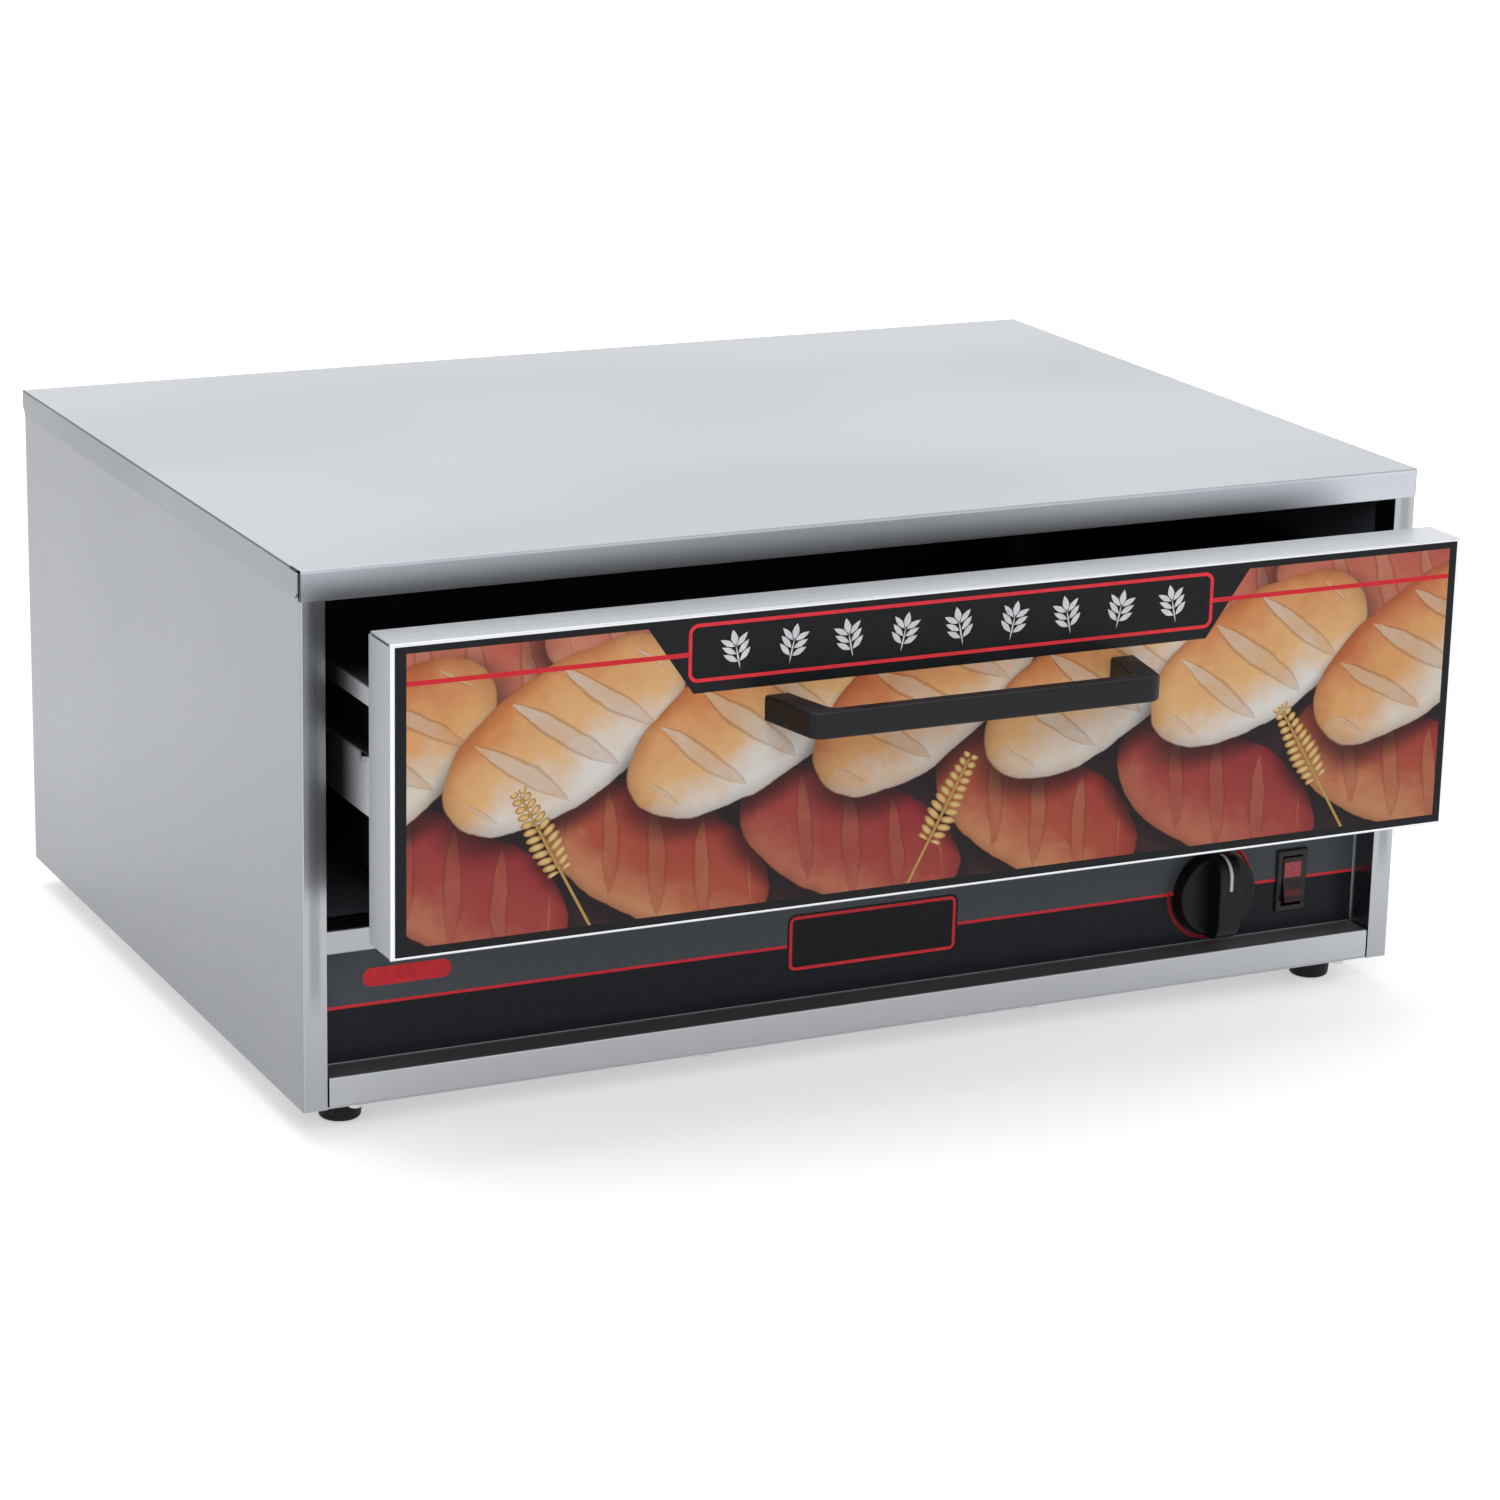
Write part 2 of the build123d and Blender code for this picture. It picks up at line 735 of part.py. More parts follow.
def switch_rocker():
    """Rocker with its two faces in a shallow V, pressed at the top, on a pair of pivot stubs."""
    pivot_y = panel_front - label_thickness - bezel_depth + pivot_behind_bezel
    half = rocker_length / 2
    outline = Polyline((-rocker_end_rise, -half), (-rocker_rise, 0), (-rocker_end_rise, half),
                       (0, half), (rocker_back, half / 3), (rocker_back, -half / 3), (0, -half), close=True)
    face = make_face(Plane.YZ * outline)
    bar = extrude(face, rocker_width / 2, dir=(1, 0, 0), both=True)
    ends = [edge for edge in bar.edges().filter_by(Axis.X) if edge.center().Y < -rocker_rise - rocker_edge]
    bar = fillet(ends, rocker_edge)
    reach = rocker_width / 2 + rocker_gap + pivot_length - 2 * pivot_play
    stub = rod((-reach, 0, 0), (1, 0, 0), pivot_radius, 2 * reach)
    return Pos(switch_x, pivot_y, switch_z) * Rot(-rocker_swing / 2, 0, 0) * (bar + stub)


def switch_tabs():
    """Blade terminals at the back of the switch."""
    y0 = panel_front + switch_body_depth
    tabs = []
    for number in range(tab_count):
        z = switch_z + tab_pitch * (number - (tab_count - 1) / 2)
        tabs.append(block(switch_x - tab_width / 2, switch_x + tab_width / 2, y0, y0 + tab_length,
                          z - tab_thickness / 2, z + tab_thickness / 2))
    return group(tabs)


def capillary():
    """Sensing bulb on the deck and the fine tube that joins it to the thermostat."""
    y_hole = front + bulb_front - capillary_bend - bulb_diameter
    z_bulb = sill_top + bulb_lift
    y_case = panel_front + steel + thermostat_depth
    route = FilletPolyline(
        (knob_x, y_case, knob_z),
        (knob_x, y_hole, knob_z),
        (bulb_x, y_hole, knob_z),
        (bulb_x, y_hole, z_bulb),
        (bulb_x, front + bulb_front, z_bulb),
        radius=capillary_bend,
    )
    section = Plane(origin=route @ 0, z_dir=route % 0) * Circle(capillary_diameter / 2)
    tube = sweep(section, path=route)
    bulb = rod((bulb_x, front + bulb_front, z_bulb), (0, 1, 0), bulb_diameter / 2, bulb_length)
    ends = bulb.edges().filter_by(GeomType.CIRCLE)
    return tube + fillet(ends, bulb_diameter / 4)


def bulb_clips():
    """The two clips that hold the sensing bulb to the deck."""
    clips = []
    z_bulb = sill_top + bulb_lift
    for y in (front + bulb_front + bulb_length / 4, front + bulb_front + bulb_length * 3 / 4):
        clip = block(bulb_x - bulb_diameter, bulb_x + bulb_diameter, y - clip_length / 4, y + clip_length / 4,
                     sill_top, z_bulb + bulb_diameter / 2 + clip_wall / 2)
        bore = rod((bulb_x, y - clip_length, z_bulb), (0, 1, 0),
                   bulb_diameter / 2 + element_play, 2 * clip_length)
        clips.append(clip - bore)
    return clips


def cord_bushing():
    """Threaded bushing in the back panel that the mains lead passes through."""
    flange = rod((gland_x, back, gland_z), (0, 1, 0), gland_flange_radius, gland_projection / 3)
    nose = rod((gland_x, back, gland_z), (0, 1, 0), gland_body_radius + steel, gland_projection)
    nose = fillet(nose.edges().sort_by(Axis.Y)[-1], 2 * steel)
    barrel = rod((gland_x, back, gland_z), (0, -1, 0), gland_body_radius, steel + gland_inner_length)
    bore = drill((gland_x, back, gland_z), (0, 1, 0), gland_bore_radius,
                 gland_inner_length + gland_projection)
    return flange + nose + barrel - bore


def bushing_nut():
    """Hexagon nut that clamps the bushing to the back panel."""
    plane = Plane(origin=(gland_x, back - steel, gland_z), z_dir=(0, -1, 0))
    nut = extrude(plane * RegularPolygon(gland_nut_radius, 6), gland_nut_length)
    return nut - drill((gland_x, back, gland_z), (0, 1, 0), gland_body_radius, gland_inner_length)


def block_origin():
    """Corner of the terminal block on the base sheet."""
    return gland_x - block_width / 2, back - block_from_rear, base + steel


def terminal_block():
    """Moulded block where the mains lead joins the inner leads."""
    x, y, z = block_origin()
    piece = block(x, x + block_width, y, y + block_length, z, z + block_height)
    piece = fillet(piece.edges().filter_by(Axis.Z), steel)
    for way in range(block_ways):
        centre = x + block_width * (way + 0.5) / block_ways
        piece -= rod((centre, y, z + block_height / 2), (0, 1, 0), lead_diameter / 2, block_length)
    return piece


def stud_place():
    """Place of the earth stud on the base sheet."""
    x, y, z = block_origin()
    return x - stud_from_block, y + block_length / 2, base


def earth_stud():
    """Earth stud with its nut and ring terminal."""
    x, y, z = stud_place()
    stud = rod((x, y, z), (0, 0, 1), stud_radius, stud_height)
    nut = extrude(Plane(origin=(x, y, base + steel)) * RegularPolygon(2 * stud_radius, 6), 2 * stud_radius)
    return stud + nut


def lead(points):
    """One insulated lead along its route."""
    route = FilletPolyline(*points, radius=lead_bend)
    section = Plane(origin=route @ 0, z_dir=route % 0) * Circle(lead_diameter / 2)
    return sweep(section, path=route)


def inner_leads():
    """Leads between the terminal block, the switch, the thermostat and the element."""
    x0, block_y, z0 = block_origin()
    block_z = z0 + block_height / 2
    ways = [x0 + block_width * (way + 0.5) / block_ways for way in range(block_ways)]
    tab_end = panel_front + switch_body_depth + tab_length
    case_end = panel_front + steel + thermostat_depth
    turn = case_end + 3 * lead_bend
    pin_y = front + element_front
    pin_z = sill_top - element_tail - tail_pin_length
    low_z = knob_z - thermostat_height / 4
    near = knob_x - thermostat_width / 4
    far = knob_x + thermostat_width / 4
    run = block_y - lead_run
    high_tab = switch_z + tab_pitch
    low_tab = switch_z - tab_pitch
    gap = element_end_half_gap
    routes = [
        [(ways[2], block_y, block_z), (ways[2], run, block_z), (switch_x, turn + lead_run, high_tab),
         (switch_x, tab_end, high_tab)],
        [(ways[1], block_y, block_z), (ways[1], run, block_z), (switch_x, turn + lead_run, low_tab),
         (switch_x, tab_end, low_tab)],
        [(switch_x, tab_end, switch_z), (switch_x, turn, switch_z), (far, turn, switch_z),
         (far, case_end, switch_z)],
        [(near, case_end, low_z), (near, pin_y, low_z), (gap, pin_y, low_z), (gap, pin_y, pin_z)],
        [(-gap, pin_y, pin_z), (-gap, pin_y, block_z), (-gap, run, block_z), (ways[0], run, block_z),
         (ways[0], block_y, block_z)],
    ]
    return group(lead(points) for points in routes)


def slide_piece(d0, d1, y0, y1, z0, z1):
    """A box of the left slide, measured from the liner and from the slide's centre height."""
    x = -chamber_half
    return block(x + d0, x + d1, y0, y1, slide_centre + z0, slide_centre + z1)


def left_cabinet_slide():
    """Outer channel of the slide, screwed to the liner."""
    y0 = cabinet_slide_front
    y1 = slide_rear
    half = slide_height / 2
    piece = slide_piece(0, slide_steel, y0, y1, -half, half)
    piece += slide_piece(0, cabinet_flange, y0, y1, half - slide_steel, half)
    piece += slide_piece(0, cabinet_flange, y0, y1, -half, -half + slide_steel)
    for y in slide_screw_ys:
        piece -= clear_hole((-chamber_half, y, slide_centre), (1, 0, 0))
    return piece


def left_middle_slide():
    """Middle member of the slide, which runs out half as far as the drawer."""
    y0 = middle_slide_front - drawer_open * middle_share
    y1 = slide_rear - drawer_open * middle_share
    web_end = middle_web_start + slide_inner_steel
    piece = slide_piece(middle_web_start, web_end, y0, y1, -middle_outer, middle_outer)
    piece += slide_piece(middle_start, middle_end, y0, y1, middle_inner, middle_outer)
    piece += slide_piece(middle_start, middle_end, y0, y1, -middle_outer, -middle_inner)
    return piece


def hook_bite(radius):
    """The round bite in the top edge of the slide's tongue and of the rail behind it."""
    place = (-chamber_half + slide_thickness, drawer_slide_front + hook_step, slide_centre + drawer_race)
    return drill(place, (1, 0, 0), radius)


def hook_finger():
    """The round-ended finger that stands in the bite of the slide's tongue."""
    x = -chamber_half + slide_thickness - slide_steel
    place = (x, drawer_slide_front + hook_step - finger_radius / 2, slide_centre + drawer_race - finger_drop)
    return rod(place, (1, 0, 0), finger_radius, slide_steel)


def left_drawer_slide():
    """Inner channel of the slide, screwed to the drawer rail, with a plain hooked tongue at its front."""
    y0 = drawer_slide_front
    y1 = drawer_slide_rear
    race_start = y0 + race_step
    web = slide_thickness - slide_steel
    lip = slide_thickness - drawer_flange
    piece = slide_piece(web, slide_thickness, y0, y1, -drawer_race, drawer_race)
    piece += slide_piece(lip, slide_thickness, race_start, y1, drawer_race - slide_inner_steel, drawer_race)
    piece += slide_piece(lip, slide_thickness, race_start, y1, -drawer_race, -drawer_race + slide_inner_steel)
    piece = piece - hook_bite(hook_radius) + hook_finger()
    for y in drawer_slide_screw_ys:
        piece -= clear_hole((-chamber_half + slide_thickness, y, slide_centre), (1, 0, 0))
    return piece


def ball_cage(inner_side):
    """One cage of the left slide: two strips and the balls that they space out."""
    middle_run = slide_travel * middle_share
    if inner_side:
        d0 = slide_thickness - drawer_flange + cage_side_gap
        d1 = middle_end - cage_side_gap
        level = middle_inner - ball_play - ball_diameter / 2
        share = inner_cage_share
        open_front = middle_slide_front - middle_run + cage_ends
        open_rear = slide_rear - slide_travel - cage_ends
    else:
        d0 = middle_start + cage_side_gap
        d1 = cabinet_flange - cage_side_gap
        level = outer_race - ball_play - ball_diameter / 2
        share = outer_cage_share
        open_front = cabinet_slide_front + cage_ends
        open_rear = slide_rear - middle_run - cage_ends
    length = open_rear - open_front
    y0 = open_front + (slide_travel - drawer_open) * share
    pieces = []
    for side in (-1, 1):
        z = side * level
        strip = slide_piece(d0, d1, y0, y0 + length, z - cage_steel / 2, z + cage_steel / 2)
        for y in spread(ball_count, y0 + 2 * ball_diameter, y0 + length - 2 * ball_diameter):
            place = (-chamber_half + (d0 + d1) / 2, y, slide_centre + z)
            strip -= drill(place, (0, 0, 1), ball_diameter / 2 + ball_play)
            pieces.append(Pos(*place) * Sphere(ball_diameter / 2))
        pieces.append(strip)
    return group(pieces)


def left_drawer_rail():
    """Stepped side rail of the drawer: the slide below, the pan's rim above."""
    x0 = -chamber_half + slide_thickness
    y0 = drawer_back
    y1 = drawer_slide_rear
    low = slide_centre - drawer_race - steel
    web = block(x0, x0 + steel, y0, y1, low, shelf_top)
    shelf = block(x0, x0 + steel + rail_shelf, y0, y1, shelf_top - steel, shelf_top)
    x1 = x0 + rail_shelf
    upper = block(x1, x1 + steel, y0 + pan_lip_gap + 2 * pan_steel, y1, shelf_top - steel, rail_top)
    tab = block(x0, x0 + rail_front_flange, y0, y0 + steel, low, shelf_top)
    piece = web - hook_bite(hook_radius + hook_clearance) + shelf + upper + tab
    for y in drawer_slide_screw_ys:
        piece -= clear_hole((x0, y, slide_centre), (1, 0, 0))
    for place in drawer_front_screw_places():
        piece -= clear_hole(place, (0, 1, 0))
    return piece


def drawer_front_screw_places():
    """Screws that hold the two drawer rails to the back of the drawer front."""
    x = chamber_half - slide_thickness - rail_front_flange + front_screw_inset
    return [(side * x, drawer_back + steel, slide_centre + step * drawer_race / 2)
            for side in (-1, 1) for step in (-1, 1)]


def rear_crossbar():
    """Sheet that joins the two rails at the back of the drawer and carries the pan's rear rim."""
    y1 = drawer_slide_rear
    low_half = chamber_half - slide_thickness - steel
    high_half = low_half - rail_shelf
    low = slide_centre - drawer_race - steel
    lower = block(-low_half, low_half, y1 - steel, y1, low, shelf_top - steel)
    upper = block(-high_half, high_half, y1 - steel, y1, shelf_top - steel, rail_top)
    flange = block(-high_half, high_half, y1 - pan_rim / 2, y1, low, low + steel)
    return lower + upper + flange


def drawer_front_shell():
    """Folded steel box front, open at its corners along the folds."""
    face = block(-drawer_half, drawer_half, drawer_face, drawer_face + steel, drawer_bottom, drawer_top)
    inner = drawer_half - steel
    side_low = drawer_bottom + steel + fold_gap
    side_high = drawer_top - steel - fold_gap
    piece = face + block(-inner, inner, drawer_face, drawer_back, drawer_top - steel, drawer_top)
    piece += block(-inner, inner, drawer_face, drawer_back, drawer_bottom, drawer_bottom + steel)
    for side in (-1, 1):
        a = side * inner
        b = side * drawer_half
        piece += block(min(a, b), max(a, b), drawer_face, drawer_back, side_low, side_high)
    for place in handle_screw_places():
        piece -= clear_hole(place, (0, 1, 0))
    rim = [edge for edge in piece.edges()
           if edge.center().Y < drawer_face + steel / 4 and edge.length > drawer_front_depth]
    return fillet(rim, bend_radius)


def drawer_front_back():
    """Inner panel that closes the drawer front from behind."""
    inner = drawer_half - steel
    piece = block(-inner, inner, drawer_back - steel, drawer_back, drawer_bottom + steel, drawer_top - steel)
    for x, y, z in drawer_front_screw_places():
        piece -= clear_hole((x, drawer_back, z), (0, 1, 0))
    return piece


def drawer_label():
    """Printed film on the face of the drawer front, with holes for the handle's screws."""
    half = drawer_half - label_side_margin
    film = block(-half, half, drawer_face - label_thickness, drawer_face,
                 drawer_bottom + label_margin, drawer_top - label_margin)
    for place in handle_screw_places():
        film -= clear_hole(place, (0, 1, 0))
    return film


def handle_screw_places():
    """One screw into the middle of each leg of the handle, seated inside the drawer front."""
    x = handle_length / 2 - handle_leg_width / 2
    z = drawer_bottom + handle_bottom_above_front + handle_height / 2
    return [(side * x, drawer_face + steel, z) for side in (-1, 1)]


def drawer_handle():
    """Moulded bar handle on two legs that lean in slightly."""
    face = drawer_face - label_thickness
    nose = drawer_face - handle_projection
    half = handle_length / 2
    z0 = drawer_bottom + handle_bottom_above_front
    outer = Polyline((-half, face), (-half + handle_taper, nose), (half - handle_taper, nose), (half, face),
                     close=True)
    inner_face = half - handle_leg_width
    inner_nose = inner_face - handle_taper
    gap_y = nose + handle_bar_depth
    inner = Polyline((-inner_face, face + steel), (-inner_nose, gap_y), (inner_nose, gap_y),
                     (inner_face, face + steel), close=True)
    floor = Plane.XY.offset(z0)
    solid = extrude(floor * make_face(outer), handle_height)
    corners = [edge for edge in solid.edges().filter_by(Axis.Z) if edge.center().Y < nose + steel]
    solid = fillet(corners, handle_corner)
    gap = extrude(floor * make_face(inner), handle_height)
    corners = [edge for edge in gap.edges().filter_by(Axis.Z) if edge.center().Y < gap_y + steel]
    solid -= fillet(corners, handle_corner / 2)
    rounded = [edge for edge in solid.edges() if edge.center().Y < face - steel / 4
               and abs(edge.center().Z - z0 - handle_height / 2) > handle_height / 4]
    solid = fillet(rounded, handle_edge)
    for x, y, z in handle_screw_places():
        solid -= rod((x, face, z), (0, -1, 0), screw_radius, 2 * screw_length)
    return solid


def rounded_box(half_x, y0, y1, z0, z1, corner):
    """A box with rounded upright corners."""
    piece = block(-half_x, half_x, y0, y1, z0, z1)
    return fillet(piece.edges().filter_by(Axis.Z), corner)


def drawer_pan():
    """Deep drawn food pan that hangs in the drawer by its turned-down rim."""
    top = base + pan_top_height
    y0 = pan_front + pan_rim
    y1 = pan_rear - pan_rim
    outer = rounded_box(pan_wall_half, y0, y1, pan_bottom, top, pan_corner)
    outer = fillet(outer.edges().group_by(Axis.Z)[0], pan_bottom_radius)
    inner = rounded_box(pan_wall_half - pan_steel, y0 + pan_steel, y1 - pan_steel,
                        pan_bottom + pan_steel, top + steel, pan_corner - pan_steel)
    inner = fillet(inner.edges().group_by(Axis.Z)[0], pan_bottom_radius - pan_steel)
    rim_corner = pan_rim / 2
    rim = rounded_box(pan_lip_half, pan_front, pan_rear, top - pan_lip, top, rim_corner)
    rim -= rounded_box(pan_lip_half - pan_steel, pan_front + pan_steel, pan_rear - pan_steel,
                       top - pan_lip - steel, top - pan_steel, rim_corner - pan_steel)
    return rim + outer - inner


def bun_rack():
    """Perforated false floor over the water tray, with a hand slot to lift it out and fill the tray."""
    half = pan_wall_half - pan_steel - rack_gap
    y0 = pan_front + pan_rim + pan_steel + rack_gap
    y1 = pan_rear - pan_rim - pan_steel - rack_gap
    plate = rounded_box(half, y0, y1, rack_top - pan_steel, rack_top, pan_corner - pan_steel)
    centre = (y0 + y1) / 2
    slot_x = rack_slot_length / 2
    slot_y = rack_slot_width / 2
    clear = rack_hole_radius + rack_land
    holes = [
        drill((x, y, rack_top), (0, 0, 1), rack_hole_radius)
        for x in spread(rack_columns, -half + rack_margin, half - rack_margin)
        for y in spread(rack_rows, y0 + rack_margin, y1 - rack_margin)
        if abs(x) > slot_x + clear or abs(y - centre) > slot_y + clear
    ]
    plate -= holes
    plate -= rounded_box(slot_x, centre - slot_y, centre + slot_y, rack_top - 2 * pan_steel,
                         rack_top + pan_steel, slot_y / 2)
    rib_x = half - rack_rib_inset
    for side in (-1, 1):
        a = side * rib_x
        b = side * (rib_x + pan_steel)
        plate += block(min(a, b), max(a, b), y0 + rack_margin, y1 - rack_margin,
                       pan_bottom + pan_steel, rack_top - pan_steel)
    return plate


def water_tray():
    """Shallow tray for water on the floor of the pan."""
    centre = (pan_front + pan_rear) / 2
    low = pan_bottom + pan_steel
    outer = rounded_box(tray_width / 2, centre - tray_length / 2, centre + tray_length / 2, low,
                        low + tray_height, tray_corner)
    inner = rounded_box(tray_width / 2 - liner_steel, centre - tray_length / 2 + liner_steel,
                        centre + tray_length / 2 - liner_steel, low + liner_steel,
                        low + 2 * tray_height, tray_corner - liner_steel)
    return outer - inner


def rubber_feet():
    """Four tapered rubber feet, each with a recess for its screw."""
    feet = []
    for x, y, z in foot_places():
        foot = Pos(x, y, 0) * Cone(foot_radius - foot_taper, foot_radius, foot_height,
                                   align=(Align.CENTER, Align.CENTER, Align.MIN))
        foot = fillet(foot.edges().sort_by(Axis.Z)[0], foot_round)
        foot -= rod((x, y, 0), (0, 0, 1), foot_recess_radius, foot_recess_depth)
        foot -= rod((x, y, 0), (0, 0, 1), screw_radius + screw_play, foot_height)
        feet.append(foot)
    return group(feet)


def base_screws():
    """Screws up into the bottom rail and the side panels, and longer ones up through the feet."""
    places = list(bottom_screw_places)
    places += [(side * side_screw_x, y, base) for side in (-1, 1) for y in side_screw_ys]
    screws = [pan_screw(place, (0, 0, 1)) for place in places]
    length = foot_height - foot_recess_depth + screw_length
    screws += [pan_screw((x, y, foot_recess_depth), (0, 0, 1), length) for x, y, z in foot_places()]
    return group(screws)


def rear_screws():
    """Screws through the back panel into the flanges of the side panels."""
    return group(pan_screw((side * side_screw_x, back, z), (0, -1, 0))
                 for side in (-1, 1) for z in rear_screw_zs)


def cabinet_slide_screws():
    """Screws through the outer slide members into the liners."""
    screws = []
    for side in (-1, 1):
        seat = side * (chamber_half - slide_steel)
        screws += [pan_screw((seat, y, slide_centre), (side, 0, 0)) for y in slide_screw_ys]
    return group(screws)


def drawer_slide_screws():
    """Screws through the inner slide members into the drawer rails."""
    screws = []
    for side in (-1, 1):
        seat = side * (chamber_half - slide_thickness + slide_steel)
        screws += [pan_screw((seat, y, slide_centre), (-side, 0, 0), screw_length / 2)
                   for y in drawer_slide_screw_ys]
    return group(screws)


def drawer_front_screws():
    """Screws through the rails into the back of the drawer front."""
    return group(pan_screw(place, (0, -1, 0)) for place in drawer_front_screw_places())


def handle_screws():
    """Screws from inside the drawer front into the legs of the handle."""
    return group(pan_screw(place, (0, -1, 0), screw_length + steel) for place in handle_screw_places())


def thermostat_screws():
    """Screws through the panel into the thermostat, hidden by the knob."""
    return group(pan_screw(place, (0, 1, 0)) for place in thermostat_screw_places())


def save(name, piece):
    """Write one sub-part to its own file."""
    export_step(piece, "parts/" + name + ".step")


def main():
    """Build every sub-part and write it out."""
    os.makedirs("parts", exist_ok=True)
    pieces = {
        "top_cover": top_cover(),
        "left_side_panel": left_side_panel(),
        "rear_panel": rear_panel(),
        "base_pan": base_pan(),
        "bottom_rail": bottom_rail(),
        "sill_rail": sill_rail(),
        "control_panel": control_panel(),
        "control_overlay": control_overlay(),
        "left_liner": left_liner(),
        "top_liner": top_liner(),
        "rear_liner": rear_liner(),
        "heat_deck": heat_deck(),
        "heat_shield": heat_shield(),
        "heating_element": heating_element(),
        "deck_clips": deck_clips(),
        "element_bushes": element_bushes(),
        "thermostat_body": thermostat_body(),
        "thermostat_shaft": thermostat_shaft(),
        "thermostat_screws": thermostat_screws(),
        "capillary_and_bulb": capillary(),
        "control_knob": control_knob(),
        "knob_pointer": knob_pointer(),
        "switch_housing": switch_housing(),
        "switch_rocker": switch_rocker(),
        "switch_tabs": switch_tabs(),
        "cord_bushing": cord_bushing(),
        "bushing_nut": bushing_nut(),
        "terminal_block": terminal_block(),
        "earth_stud": earth_stud(),
        "inner_leads": inner_leads(),
        "rubber_feet": rubber_feet(),
        "base_screws": base_screws(),
        "rear_screws": rear_screws(),
        "left_cabinet_slide": left_cabinet_slide(),
        "cabinet_slide_screws": cabinet_slide_screws(),
        "left_middle_slide": left_middle_slide(),
        "left_outer_ball_cage": ball_cage(False),
        "left_inner_ball_cage": ball_cage(True),
        "left_drawer_slide": left_drawer_slide(),
        "drawer_slide_screws": drawer_slide_screws(),
        "left_drawer_rail": left_drawer_rail(),
        "rear_crossbar": rear_crossbar(),
        "drawer_front_shell": drawer_front_shell(),
        "drawer_front_back": drawer_front_back(),
        "drawer_front_screws": drawer_front_screws(),
        "drawer_label": drawer_label(),
        "drawer_handle": drawer_handle(),
        "handle_screws": handle_screws(),
        "drawer_pan": drawer_pan(),
        "bun_rack": bun_rack(),
        "water_tray": water_tray(),
    }
    for name, piece in pieces.items():
        save(name, piece)
        if name.startswith("left_"):
            save(name.replace("left_", "right_"), other_side(piece))


main()
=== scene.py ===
import math

import bmesh
import bpy
from mathutils import Matrix, Vector


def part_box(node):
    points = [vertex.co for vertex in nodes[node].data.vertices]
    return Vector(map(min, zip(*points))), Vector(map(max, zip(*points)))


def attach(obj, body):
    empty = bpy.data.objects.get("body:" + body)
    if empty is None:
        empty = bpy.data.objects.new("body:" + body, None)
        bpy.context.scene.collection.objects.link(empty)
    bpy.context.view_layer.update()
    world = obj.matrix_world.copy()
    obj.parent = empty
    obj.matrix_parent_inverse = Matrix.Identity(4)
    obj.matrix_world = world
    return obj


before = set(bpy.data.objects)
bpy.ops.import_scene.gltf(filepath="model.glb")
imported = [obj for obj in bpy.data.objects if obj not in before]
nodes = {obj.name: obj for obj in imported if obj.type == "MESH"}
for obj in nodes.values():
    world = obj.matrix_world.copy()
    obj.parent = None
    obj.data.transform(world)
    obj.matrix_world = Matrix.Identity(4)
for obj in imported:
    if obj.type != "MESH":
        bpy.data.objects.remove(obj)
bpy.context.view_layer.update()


# The viewpoint: a long lens a little over two metres away, standing to the left of the cabinet
# and looking slightly down on its top.
camera_place = Vector((-1.0065, -2.07016, 0.7951))
camera_yaw = 0.455538423
camera_pitch = 0.285758465
camera_roll = 0.0225971654
lens_length = 106.798
sensor_width = 36
forward = Vector((math.sin(camera_yaw) * math.cos(camera_pitch),
                  math.cos(camera_yaw) * math.cos(camera_pitch),
                  -math.sin(camera_pitch)))
level_right = Vector((math.cos(camera_yaw), -math.sin(camera_yaw), 0))
level_up = level_right.cross(forward)
camera_right = level_right * math.cos(camera_roll) + level_up * math.sin(camera_roll)
camera_up = level_up * math.cos(camera_roll) - level_right * math.sin(camera_roll)
camera_data = bpy.data.cameras.new("camera")
camera_data.lens = lens_length
camera_data.sensor_width = sensor_width
camera_data.clip_start = 0.05
camera_data.clip_end = 60
camera = bpy.data.objects.new("camera", camera_data)
bpy.context.scene.collection.objects.link(camera)
turn = Matrix((camera_right, camera_up, -forward)).transposed()
camera.matrix_world = Matrix.Translation(camera_place) @ turn.to_4x4()
bpy.context.scene.camera = camera


# The studio: a white sweep under the cabinet, less bright near it as a painted shade, an even white
# surround, and three large soft lamps.
# The surround's white is only seen and mirrored; the light it gives off is a softer grey.
def sums(made, kind, first, second=0):
    """One step of arithmetic on one or two values, each a socket or a number."""
    step = made.nodes.new("ShaderNodeMath")
    step.operation = kind
    for place, value in zip(step.inputs, (first, second)):
        if isinstance(value, (int, float)):
            place.default_value = value
        else:
            made.links.new(value, place)
    return step.outputs[0]


def product(made, first, second):
    """Two values multiplied, each a socket or a number."""
    return sums(made, "MULTIPLY", first, second)


def ranged(made, source, low, high, from_low=0.3, from_high=0.7):
    """The source's values between two numbers, spread between two others."""
    spread_out = made.nodes.new("ShaderNodeMapRange")
    spread_out.inputs["From Min"].default_value = from_low
    spread_out.inputs["From Max"].default_value = from_high
    spread_out.inputs["To Min"].default_value = low
    spread_out.inputs["To Max"].default_value = high
    made.links.new(source, spread_out.inputs["Value"])
    return spread_out.outputs["Result"]


def own(made, kind="Object"):
    """X, Y and Z of the piece's own coordinates, of its normals, or of the way a ray goes."""
    place = made.nodes.new("ShaderNodeTexCoord")
    parts = made.nodes.new("ShaderNodeSeparateXYZ")
    made.links.new(place.outputs[kind], parts.inputs[0])
    return parts.outputs["X"], parts.outputs["Y"], parts.outputs["Z"]


def white_rays(made):
    """One on the rays that meet white: from the camera, off gloss and through clear pieces."""
    rays = made.nodes.new("ShaderNodeLightPath").outputs
    direct = sums(made, "MAXIMUM", rays["Is Camera Ray"], rays["Is Glossy Ray"])
    return sums(made, "MAXIMUM", direct, rays["Is Transmission Ray"])


